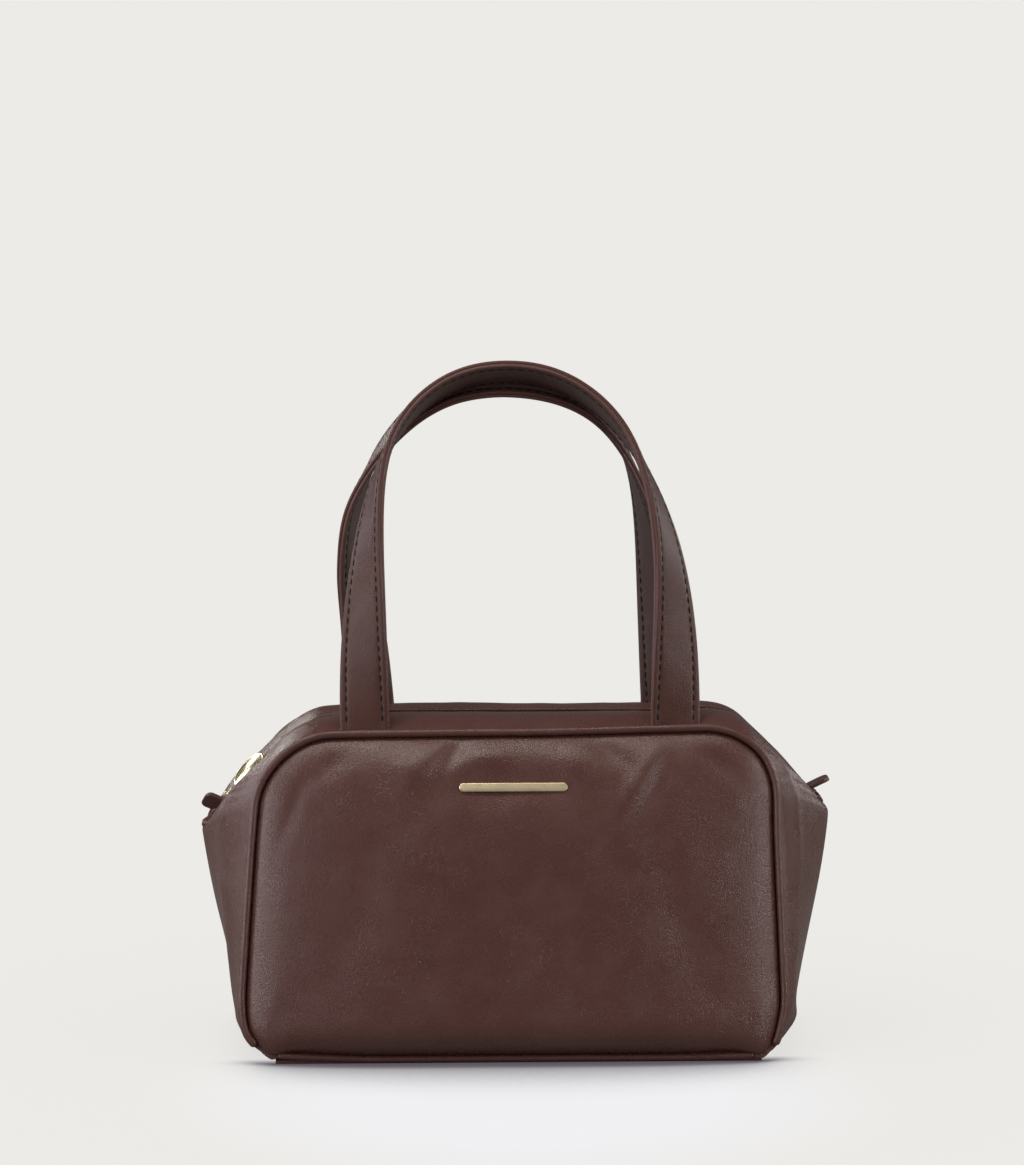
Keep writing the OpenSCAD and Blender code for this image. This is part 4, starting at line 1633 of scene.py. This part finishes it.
@dataclass
class ZipPath:
    """The path of the zip over the top and down the shoulders."""

    @cached_property
    def tangent(self) -> float:
        """Distance from the unrounded shoulder to where its rounding starts."""
        return FORM.shoulder * math.tan(FORM.slope_angle / 2)

    @cached_property
    def level(self) -> float:
        """Half length of the level run."""
        return FORM.top_reach - self.tangent

    @cached_property
    def radius(self) -> float:
        """Radius of the zip's bend."""
        return FORM.shoulder - FORM.zip_drop

    @cached_property
    def bend(self) -> float:
        """Length of one bend."""
        return self.radius * FORM.slope_angle

    @cached_property
    def straight(self) -> float:
        """Length of the straight run down a shoulder, to the wing tip."""
        tip = Vector((FORM.wing_reach, FORM.wing_height))
        return (Vector((FORM.top_reach, FORM.ridge_height)) - tip).length - self.tangent

    def from_wing(self, d: float) -> float:
        """Distance from the middle of the bag to the point that is d from a wing tip."""
        return self.level + self.bend + self.straight - d

    def turn(self, s: float) -> float:
        """Turn of the zip about Y at a distance from the middle."""
        share = min(1.0, max(0.0, (abs(s) - self.level) / self.bend))
        return math.copysign(share * FORM.slope_angle, s)

    def frame(self, s: float) -> Matrix:
        """The zip's own axes: X along it and Z out of the bag.

        Args:
            s: Distance from the middle of the bag along the zip, negative to the left.

        Returns:
            The axes, with their origin on the zip.
        """
        a, q = abs(s), abs(self.turn(s))
        down = max(0.0, a - self.level - self.bend)
        x = min(a, self.level) + self.radius * math.sin(q) + down * math.cos(FORM.slope_angle)
        z = FORM.ridge_height - FORM.zip_drop - self.radius * (1 - math.cos(q))
        z -= down * math.sin(FORM.slope_angle)
        at = FORM.hang(Vector((math.copysign(x, s), z)))
        place = Matrix.Translation(Vector((at.x, 0.0, at.y)))
        return place @ Matrix.Rotation(self.turn(s), 4, "Y")


ZIP = ZipPath()


@dataclass
class Strap:
    """One handle: an outer leather, a backing leather and the stitches through both."""

    side: Side
    top: float
    offset: float
    width: float = 20.0
    thickness: float = 3.2
    leg_reach: float = 63.5
    bow: float = 1.0
    rise_share: float = 0.685
    width_share: float = 0.82
    turn: float = 114.0
    turn_power: float = 2.2
    steps: int = 104
    pitch: float = 4.05
    inset: float = 2.7
    stitch: tuple[float, float, float] = (1.45, 0.42, 0.30)
    stitch_sink: float = 0.13
    bare_ends: float = 18.0
    foot_clear: float = 0.9
    root_scale: float = 100.0
    hinge: tuple[float, float] = (4.0, 5.0)
    left_sway: tuple[float, ...] = (0.0, 0.0)
    right_sway: tuple[float, ...] = (0.0, 0.0)
    rise: tuple[float, ...] = (0.0, 0.0)

    @cached_property
    def foot(self) -> Vector:
        """The middle of the strap where it comes out of the seam, as distance back and height."""
        back = FORM.seam_depth_top - FORM.piping - FORM.gap - self.thickness / 2
        return Vector((back, FORM.seam_height + FORM.piping + FORM.gap + self.foot_clear))

    def middle(self, t: float) -> Vector:
        """The middle of the right half of the strap.

        Args:
            t: Share of the way, from the foot at 0 to the top at 1.

        Returns:
            The point in millimetres.
        """
        a = Vector((self.leg_reach, self.foot.y))
        b = Vector((self.leg_reach + self.bow, lerp(self.foot.y, self.top, self.rise_share)))
        c = Vector((self.leg_reach * self.width_share, self.top))
        d = Vector((0.0, self.top))
        p = a * (1 - t) ** 3 + b * (3 * t * (1 - t) ** 2) + c * (3 * t * t * (1 - t)) + d * t**3
        share = (p.y - self.foot.y) / (self.top - self.foot.y)
        return Vector((p.x, -lerp(self.foot.x, self.offset, share), p.y))

    def frame(self, t: float) -> tuple[Vector, Vector, Vector]:
        """The place and the turn of the right half of the strap.

        Args:
            t: Share of the way from foot to top, below 0 for the root in the seam.

        Returns:
            The strap's middle, the way of its width and the normal of its outer face.
        """
        if t < 0:
            down = Vector((0, -math.sin(FORM.lean), -math.cos(FORM.lean)))
            start = self.middle(0.0)
            middle = start + down * (-t * self.root_scale)
            return middle, Vector((-1, 0, 0)), Vector((0, -1, 0))
        way = (self.middle(min(1, t + 0.01)) - self.middle(max(0, t - 0.01))).normalized()
        inward = way.cross(Vector((0, 1, 0))).normalized()
        back = inward.cross(way)
        turn = math.radians(self.turn) * (1 - (1 - t) ** self.turn_power)
        across = inward * math.cos(turn) - back * math.sin(turn)
        return self.middle(t), across, way.cross(across)

    @cached_property
    def stations(self) -> list[tuple[Vector, Vector, Vector]]:
        """Frames from the right root over the top to the left root.

        Returns:
            At each station what frame() gives, swayed.
        """
        shares = [-0.10, -0.08, -0.06, -0.04, -0.025, -0.0125]
        shares += [i / self.steps for i in range(self.steps + 1)]
        flip = Vector((-1, 1, 1))
        made = []
        for t in shares:
            m, a, n = self.frame(t)
            made.append((m + self.sway(Hand.RIGHT, t), a, n))
        for t in shares[-2::-1]:
            m, a, n = self.frame(t)
            made.append((m * flip + self.sway(Hand.LEFT, t), a * flip, n * flip))
        return made

    def sway(self, hand: Hand, t: float) -> Vector:
        """How far the limp strap has swayed from its drawn curve at t on one leg."""
        keys = self.left_sway if hand is Hand.LEFT else self.right_sway
        return Vector((through(keys, t), 0.0, through(self.rise, t)))

    def outline(self, outer: bool) -> list[tuple[float, float]]:
        """The section of one leather, with its rounded edges and a groove for each stitch row.

        Args:
            outer: Whether it is the outer leather or the backing.

        Returns:
            Distance across and height over the strap's middle for each corner.
        """
        half, top = self.width / 2, self.thickness / 2
        rail = half - self.inset
        edge = [(half, 0.04), (half, 0.55 * top), (half - 0.12, 0.78 * top)]
        edge += [(half - 0.45, 0.93 * top), (half - 0.95, top), (half - 1.6, top + 0.04)]
        edge += [(rail + 0.5, top - 0.02)]
        edge += [(rail + 0.15, top - 0.2), (rail - 0.15, top - 0.2), (rail - 0.5, top - 0.02)]
        edge += [(rail - 1.4, top + 0.12), (rail - 3.4, top + 0.2)]
        full = edge + [(0.0, top + 0.22)] + [(-x, y) for x, y in edge[::-1]]
        sign = 1.0 if outer else -1.0
        return [(x, y * sign) for x, y in full] + [(x, 0.04 * sign) for x in (-5.0, 0.0, 5.0)]

    def leather(self, outer: bool, material: bpy.types.Material, slot: str) -> bpy.types.Object:
        """Builds one of the strap's two leathers.

        Args:
            outer: Whether it is the outer leather or the backing.
            material: Its finish.
            slot: The record's material slot that it belongs to.

        Returns:
            The leather's object.
        """
        line, rim = self.stations, self.outline(outer)
        k, m = len(rim), len(line) - 1

        def place(u: float, v: float) -> Vector:
            """The point of the leather at its shares along and round the section.

            Args:
                u: Share of the way along the strap.
                v: Share of the way round its section.

            Returns:
                The point in millimetres.
            """
            at, across, face = line[round(u * m)]
            x, y = rim[round(v * k) % k]
            p = at + across * x + face * y
            p.y *= -self.side.value
            return p

        name = f"{self.side.label}_strap_{'face' if outer else 'backing'}"
        shell = Shell(name).grid(m, k, place, True)
        half = self.width / 2
        for f in shell.bm.faces:
            for loop in f.loops:
                v = loop[shell.uv].uv
                x = rim[round(v.y * k) % k][0]
                loop[shell.uv].uv = (v.x, 0.5 + 0.5 * x / half)
        ends = [e for e in shell.bm.edges if len(e.link_faces) == 1]
        bmesh.ops.holes_fill(shell.bm, edges=ends)
        bmesh.ops.recalc_face_normals(shell.bm, faces=shell.bm.faces)
        return shell.piece(material, slot)

    def stitches(self, material: bpy.types.Material) -> bpy.types.Object:
        """Builds the two rows of stitches, seen on both faces.

        Args:
            material: The finish of the thread.

        Returns:
            The object of all the stitches.
        """
        shell = Shell(f"{self.side.label}_strap_stitches")
        line = self.stations
        lift = self.thickness / 2 - self.stitch_sink
        for row in (-1, 1):
            for face_side in (-1, 1):
                points = [
                    m + a * (row * (self.width / 2 - self.inset)) + n * (face_side * lift)
                    for m, a, n in line
                ]
                sewn = Shell("row")
                self.sew(sewn, points, [n * face_side for _, _, n in line])
                shell.take(sewn)
        for v in shell.bm.verts:
            v.co.y *= -self.side.value
        bmesh.ops.recalc_face_normals(shell.bm, faces=shell.bm.faces)
        return shell.piece(material, "strap_leather")

    def sew(self, shell: Shell, points: list[Vector], normals: list[Vector]) -> None:
        """Sets stitches at an even pitch along a line.

        Args:
            shell: The shell that takes the stitches.
            points: Points of the line.
            normals: The leather's normal at each of them.
        """
        lengths = [0.0]
        for a, b in zip(points, points[1:]):
            lengths.append(lengths[-1] + (b - a).length)
        count = int((lengths[-1] - self.bare_ends) / self.pitch)
        start = (lengths[-1] - count * self.pitch) / 2
        k = 0
        for j in range(count):
            want = start + (j + 0.5) * self.pitch
            while lengths[k + 1] < want:
                k += 1
            share = (want - lengths[k]) / (lengths[k + 1] - lengths[k])
            at = points[k].lerp(points[k + 1], share)
            way = (points[k + 1] - points[k]).normalized()
            up = normals[k]
            third = up.cross(way).normalized()
            up = way.cross(third).normalized()
            turn = Matrix((way, third, up)).transposed().to_4x4()
            size = Matrix.Diagonal((*self.stitch, 1.0))
            bmesh.ops.create_uvsphere(
                shell.bm,
                u_segments=6,
                v_segments=6,
                radius=1.0,
                matrix=Matrix.Translation(at) @ turn @ size,
            )

    def build(self, finishes: Finishes) -> None:
        """Builds the strap's outer leather, its backing and its stitches; the roots run down into
        the seam.

        Args:
            finishes: The finishes of the bag.
        """
        body = f"{self.side.label}_handle"
        face = self.leather(True, finishes.strap, "strap_leather")
        back = self.leather(False, finishes.backing, "backing_leather")
        thread = self.stitches(finishes.thread)
        for piece in (face, back, thread):
            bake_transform(piece)
        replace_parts(face, body, f"{body}_roots")
        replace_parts(back, f"{body}_backing", f"{body}_core")


@dataclass
class ZipPull:
    """The slider, its link and the plain round disc."""

    stop: float = 1.8
    stop_clear: float = 0.6
    seat: float = 1.2
    plate: float = 1.0
    length: float = 7.0
    width: float = 8.6
    plate_edge: float = 0.28
    flange: tuple[float, float, float] = (4.8, 1.0, 0.9)
    flange_back: float = 0.9
    flange_inset: float = 0.65
    flange_drop: float = 0.15
    bail_rise: float = 1.5
    bail_reach: tuple[float, float] = (1.02, 1.55)
    bail_half: float = 0.95
    bail_stretch: float = 1.2
    link: float = 3.4
    link_half: float = 1.1
    link_corner: float = 0.9
    wire: float = 0.6
    disc: float = 8.8
    disc_thick: float = 1.2
    disc_edge: float = 0.42
    disc_rim: float = 0.55
    disc_step: float = 0.22
    disc_hollow: float = 0.16
    neck: tuple[float, float, float] = (3.6, 1.9, 1.0)
    neck_at: float = 2.6
    eye: float = 1.2
    eye_wire: float = 0.3
    disc_lean: float = 17.0
    disc_side: float = 3.1
    disc_sink: float = 0.9
    disc_clear: float = 0.1

    @cached_property
    def here(self) -> Matrix:
        """The axes of the parked slider, next to the stop at the zip's left end."""
        past_stop = FORM.valley_end + FORM.gap + self.stop + self.stop_clear
        return ZIP.frame(-ZIP.from_wing(past_stop + self.length / 2))

    @cached_property
    def bail_axis(self) -> float:
        """Height of the link's wire over the zip, inside the bridge."""
        return self.seat + self.plate + FORM.gap + self.bail_rise

    def plate_outline(self, z: float) -> list[Vector]:
        """The outline of a slider plate, narrower towards the closed teeth.

        Args:
            z: Height of the plate over the zip.

        Returns:
            Its corners in the slider's axes.
        """
        l, w = self.length / 2, self.width / 2
        right = [(l, 0.55 * w), (0.82 * l, 0.78 * w), (0.4 * l, 0.97 * w), (0.0, w), (-0.7 * l, w)]
        right += [(-0.95 * l, 0.9 * w), (-l, 0.7 * w), (-0.86 * l, 0.3 * w)]
        return [Vector((x, y, z)) for x, y in right] + [Vector((x, -y, z)) for x, y in right[::-1]]

    def ring(self, shell: Shell, at: Vector, radius: float, wire: float) -> None:
        """Adds a closed round ring about the Y axis.

        Args:
            shell: The shell that takes the ring.
            at: Its middle.
            radius: Radius of the wire's middle line.
            wire: Radius of the wire.
        """
        ring = Shell("ring")
        made = bmesh.ops.create_circle(ring.bm, segments=12, radius=wire)
        bmesh.ops.translate(ring.bm, vec=Vector((radius, 0, 0)), verts=made["verts"])
        bmesh.ops.spin(
            ring.bm,
            geom=ring.bm.verts[:] + ring.bm.edges[:],
            cent=(0, 0, 0),
            axis=(0, 1, 0),
            steps=24,
            angle=2 * math.pi,
            use_merge=True,
        )
        bmesh.ops.translate(ring.bm, vec=at, verts=ring.bm.verts)
        shell.take(ring)

    def slider(self, finishes: Finishes) -> None:
        """Builds the slider's upper plate with its bridge, and its lower plate.

        Args:
            finishes: The finishes of the bag.
        """
        for upper in (True, False):
            name = "zip_slider_top" if upper else "zip_slider_foot"
            shell = Shell(name)
            faces = shell.disc(self.plate_outline(self.seat))
            shell.thicken(faces, Vector((0, 0, self.plate)))
            shell.round_edges(self.plate_edge, 3)
            for side in (-1, 1):
                y = side * (self.width / 2 - self.flange_inset)
                place = Matrix.Translation((-self.flange_back, y, self.seat - self.flange_drop))
                size = Matrix.Diagonal((*self.flange, 1.0))
                bmesh.ops.create_cube(shell.bm, size=1.0, matrix=place @ size)
            if upper:
                self.bridge(shell)
            else:
                bmesh.ops.scale(shell.bm, vec=(1, 1, -1), verts=shell.bm.verts)
            bmesh.ops.recalc_face_normals(shell.bm, faces=shell.bm.faces)
            bmesh.ops.transform(shell.bm, matrix=self.here, verts=shell.bm.verts)
            piece = shell.piece(finishes.gold, "pale_gold", 40.0)
            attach(piece, "zip_slider")
            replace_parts(piece, "zip_slider" if upper else "zip_slider_back")

    def bridge(self, shell: Shell) -> None:
        """Adds the arched bridge over the plate that the link hangs in.

        Args:
            shell: The shell of the upper plate.
        """
        inner, outer = self.bail_reach

        def place(u: float, v: float) -> Vector:
            """The point of the bridge at its shares along and round.

            Args:
                u: Share of the way over the arch.
                v: Share of the way round its section.

            Returns:
                The point in the slider's axes.
            """
            over, turn = math.pi * u, 2 * math.pi * v
            radial = (inner + outer) / 2 + (outer - inner) / 2 * math.cos(turn)
            z = self.bail_axis + radial * math.sin(over)
            if u in (0.0, 1.0):
                z = self.seat + self.plate * 0.6
            x = radial * math.cos(over) * self.bail_stretch
            return Vector((x, self.bail_half * math.sin(turn), z))

        shell.grid(22, 12, place, True)

    def link_piece(self, finishes: Finishes) -> None:
        """Builds the small wire link.

        Args:
            finishes: The finishes of the bag.
        """
        half = self.link_half + FORM.gap + self.wire
        corners = [Vector((0, -half)), Vector((self.link, -half))]
        corners += [Vector((self.link, half)), Vector((0, half))]
        path: list[Vector] = []
        for i, b in enumerate(corners):
            path += rounded_corner(corners[i - 1], b, corners[(i + 1) % 4], self.link_corner, 6)
        n = len(path)

        def place(u: float, v: float) -> Vector:
            """The point of the link at its shares along and round the wire.

            Args:
                u: Share of the way along the wire.
                v: Share of the way round it.

            Returns:
                The point in the slider's axes.
            """
            i = round(u * n) % n
            way = (path[(i + 1) % n] - path[i - 1]).normalized()
            out = Vector((way.y, -way.x))
            turn = 2 * math.pi * v
            p = path[i] + out * (self.wire * math.cos(turn))
            return Vector((p.x, p.y, self.bail_axis + self.wire * math.sin(turn)))

        shell = Shell("zip_link").grid(n, 10, place, True)
        bmesh.ops.recalc_face_normals(shell.bm, faces=shell.bm.faces)
        bmesh.ops.transform(shell.bm, matrix=self.here, verts=shell.bm.verts)
        piece = shell.piece(finishes.gold, "pale_gold")
        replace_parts(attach(piece, "zip_link"), "zip_pull_link")

    def disc_piece(self, finishes: Finishes) -> None:
        """Builds the plain disc, with a fine raised rim on both faces, and its eye.

        Args:
            finishes: The finishes of the bag.
        """
        shell = Shell("zip_disc")
        rim, corners = self.disc, 72
        turns = [2 * math.pi * i / corners for i in range(corners)]
        low = -self.disc_thick / 2
        faces = shell.disc([Vector((rim * math.cos(a), rim * math.sin(a), low)) for a in turns])
        shell.thicken(faces, Vector((0, 0, self.disc_thick)))
        shell.round_edges(self.disc_edge, 4)
        flat = [f for f in shell.bm.faces if f.calc_area() > 50]
        for width, depth in ((self.disc_rim, 0.0), (self.disc_step, -self.disc_hollow)):
            bmesh.ops.inset_individual(shell.bm, faces=flat, thickness=width, depth=depth)
        bmesh.ops.triangulate(shell.bm, faces=[f for f in shell.bm.faces if len(f.verts) > 12])
        lean = Matrix.Rotation(math.radians(self.disc_lean), 4, "X")
        reach = self.wire + FORM.gap + self.disc_clear + rim
        shift = Matrix.Translation((reach, self.disc_side, 0))
        bmesh.ops.transform(shell.bm, matrix=lean @ shift, verts=shell.bm.verts)
        neck = lean @ Matrix.Translation((self.neck_at, 0, 0)) @ Matrix.Diagonal((*self.neck, 1.0))
        bmesh.ops.create_cube(shell.bm, size=1.0, matrix=neck)
        self.ring(shell, Vector((0, 0, 0)), self.eye, self.eye_wire)
        bmesh.ops.recalc_face_normals(shell.bm, faces=shell.bm.faces)
        place = self.here @ Matrix.Translation((self.link, 0, self.bail_axis - self.disc_sink))
        bmesh.ops.transform(shell.bm, matrix=place, verts=shell.bm.verts)
        piece = shell.piece(finishes.gold, "pale_gold", 50.0)
        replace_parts(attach(piece, "zip_disc"), "zip_pull_disc")

    def build(self, finishes: Finishes) -> None:
        """Builds the three metal pieces.

        Args:
            finishes: The finishes of the bag.
        """
        self.slider(finishes)
        self.link_piece(finishes)
        self.disc_piece(finishes)


@dataclass
class EndTab:
    """A short leather tongue over one end of the zip."""

    hand: Hand
    width: float = 8.0
    thickness: float = 2.2
    length: float = 10.0
    lean: float = 14.0
    curl: float = 0.6
    roll: float = 0.0
    lift: float = 0.0
    inset: float = 0.9
    teeth: float = 1.1
    bed: float = 0.27
    foot: float = 0.4
    corner: float = 2.6
    edge: float = 0.55
    longest: float = 1.6

    def build(self, finishes: Finishes) -> None:
        """Builds the tongue of two leathers, rounded at its end.

        Args:
            finishes: The finishes of the bag.
        """
        w, l, r = self.width / 2, self.length, self.corner
        points = [Vector((-w, -self.foot)), Vector((w, -self.foot))]
        points += rounded_corner(Vector((w, 0)), Vector((w, l)), Vector((-w, l)), r, 7)
        points += rounded_corner(Vector((w, l)), Vector((-w, l)), Vector((-w, 0)), r, 7)
        shell = Shell(f"{self.hand.name.lower()}_end_tab_leather")
        faces = shell.disc([Vector((0, p.x, p.y)) for p in points])
        shell.thicken(faces, Vector((self.thickness, 0, 0)))
        bmesh.ops.translate(shell.bm, vec=(-self.thickness / 2, 0, 0), verts=shell.bm.verts)
        shell.round_edges(self.edge, 4)
        bmesh.ops.triangulate(shell.bm, faces=[f for f in shell.bm.faces if len(f.verts) > 6])
        for _ in range(3):
            too_long = [e for e in shell.bm.edges if e.calc_length() > self.longest]
            bmesh.ops.subdivide_edges(shell.bm, edges=too_long, cuts=1, use_grid_fill=True)
        for v in shell.bm.verts:
            v.co.x += self.curl * (max(0.0, v.co.z) / l) ** 2
        side = self.hand.value
        seat = self.teeth + FORM.gap + self.bed
        from_wing = FORM.valley_end + FORM.gap + self.inset
        place = ZIP.frame(side * ZIP.from_wing(from_wing))
        place = place @ Matrix.Diagonal((side, 1, 1, 1))
        place = place @ Matrix.Translation((0, 0, seat + self.lift))
        place = place @ Matrix.Rotation(math.radians(self.lean), 4, "Y")
        place = place @ Matrix.Rotation(math.radians(self.roll), 4, "Z")
        bmesh.ops.transform(shell.bm, matrix=place, verts=shell.bm.verts)
        bmesh.ops.recalc_face_normals(shell.bm, faces=shell.bm.faces)
        piece = shell.piece(finishes.strap_plain, "body_leather", 50.0)
        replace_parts(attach(piece, "bag"), f"{self.hand.name.lower()}_end_tab")


@dataclass
class FrontBar:
    """A slim plain metal bar on the front panel."""

    length: float = 44.0
    height: float = 3.6
    thickness: float = 1.0
    x: float = -2.0
    z: float = 110.0
    edge: float = 0.3
    sink: float = 0.15

    def build(self, finishes: Finishes, panel: Panel) -> None:
        """Builds the bar with softened edges, seated on the panel's puffed leather.

        Args:
            finishes: The finishes of the bag.
            panel: The front panel.
        """
        r, reach = self.height / 2, (self.length - self.height) / 2
        points = [
            Vector((reach * sign + r * math.cos(a), r * math.sin(a), 0))
            for sign, start in ((1, -math.pi / 2), (-1, math.pi / 2))
            for a in (start + math.pi * i / 16 for i in range(17))
        ]
        shell = Shell("front_bar_metal")
        shell.thicken(shell.disc(points), Vector((0, 0, self.thickness)))
        shell.round_edges(self.edge, 4)
        up = (self.z - FORM.seam_foot) / math.cos(FORM.lean)
        heights = (-self.height / 2, 0, self.height / 2)
        low, mid, high = (panel.puff(self.x, up + d) for d in heights)
        tilt = -math.atan2(low - high, self.height)
        ends = max(panel.puff(self.x + d, up) for d in (-reach, 0.0, reach))
        turn = math.pi / 2 - FORM.lean
        place = Matrix.Translation((0, -FORM.seam_depth_base, FORM.seam_foot))
        place = place @ Matrix.Rotation(turn, 4, "X")
        place = place @ Matrix.Translation((self.x, up, max(mid, ends) - self.sink))
        place = place @ Matrix.Rotation(tilt, 4, "X")
        bmesh.ops.transform(shell.bm, matrix=place, verts=shell.bm.verts)
        bmesh.ops.recalc_face_normals(shell.bm, faces=shell.bm.faces)
        piece = shell.piece(finishes.satin, "pale_gold", 50.0)
        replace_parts(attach(piece, "bag"), "front_bar")


@dataclass
class Innards:
    """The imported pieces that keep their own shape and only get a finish."""

    nodes: dict[str, bpy.types.Object]

    def dress(self, finishes: Finishes) -> None:
        """Gives each of them its finish.

        Args:
            finishes: The finishes of the bag.
        """
        by_finish = {
            finishes.body: ["base_panel"],
            finishes.board: ["base_board"],
            finishes.lining: [
                "front_lining",
                "rear_lining",
                "front_gusset_lining",
                "rear_gusset_lining",
                "base_lining",
                "slip_pocket",
            ],
            finishes.tape: ["front_zip_tape", "rear_zip_tape"],
            finishes.zip_metal: ["front_zip_teeth", "rear_zip_teeth", "zip_stops"],
        }
        for material, names in by_finish.items():
            for name in names:
                node = self.nodes[name]
                if not node.material_slots:
                    node.data.materials.append(material)
                for slot in node.material_slots:
                    slot.material = material
                LOG.info("%s: dressed in %s", name, material.name)


def main() -> None:
    """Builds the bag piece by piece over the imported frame."""
    logging.basicConfig(level=logging.INFO, format="%(name)s %(relativeCreated)d ms: %(message)s")
    scene = bpy.context.scene
    for stray in list(bpy.data.objects):
        bpy.data.objects.remove(stray)
    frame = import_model()
    scene.view_settings.view_transform = "Standard"
    Studio().build()
    finishes = Finishes.make()
    dents = (
        Dent(-25.5, 124.0, 11.0, 4.5, 2.0, 0.9),
        Dent(-40.0, 118.5, 12.0, 8.0, -1.5, 0.6),
        Dent(-12.0, 122.0, 10.0, 4.5, -1.0),
        Dent(37.5, 124.0, 10.0, 4.5, 1.8, -0.7),
        Dent(24.5, 119.0, 9.0, 7.0, -1.2, -0.8),
        Dent(50.5, 112.0, 15.0, 4.6, -1.3, 1.05),
        Dent(58.5, 111.0, 13.0, 4.2, 0.7, 1.05),
        Dent(-2.0, 110.5, 34.0, 8.0, 1.3),
        Dent(-78.0, 118.0, 12.0, 5.0, 0.9, 0.6),
        Dent(-91.0, 101.0, 15.0, 3.4, 0.6, 1.25),
        Dent(84.0, 116.0, 11.0, 4.0, 0.9, -0.7),
        Dent(-62.0, 62.0, 40.0, 9.0, 0.7, 1.2),
        Dent(66.0, 58.0, 44.0, 8.0, 0.7, -1.25),
    )
    for side in Side:
        panel = Panel(side, dents=dents if side is Side.FRONT else ())
        panel.build(finishes)
        if side is Side.FRONT:
            FrontBar().build(finishes, panel)
        Piping(side).build(finishes)
        GussetStrip(side).build(finishes)
    Strap(
        Side.FRONT,
        top=281.0,
        offset=6.5,
        left_sway=(1.3, 0.3, -1.7, -1.7, -3.6),
        right_sway=(1.2, 1.6, -1.6, -4.3, -3.6),
        rise=(0.0, 0.0, -1.2, -3.1, -3.1),
    ).build(finishes)
    Strap(
        Side.REAR,
        top=272.0,
        offset=7.5,
        left_sway=(3.8, 0.4, -5.4, -8.8, -7.4, -5.0, -4.2, -4.6, -4.8),
        right_sway=(1.3, -2.1, -2.7, -2.6, -4.8),
        rise=(0.0, 0.0, 0.0, 0.2, 0.7),
    ).build(finishes)
    ZipPull().build(finishes)
    EndTab(Hand.LEFT, length=8.4, lean=14.0, curl=1.0, roll=-52.0, lift=0.6).build(finishes)
    EndTab(Hand.RIGHT, lift=1.4).build(finishes)
    Innards(frame["nodes"]).dress(finishes)


if __name__ == "__main__":
    main()
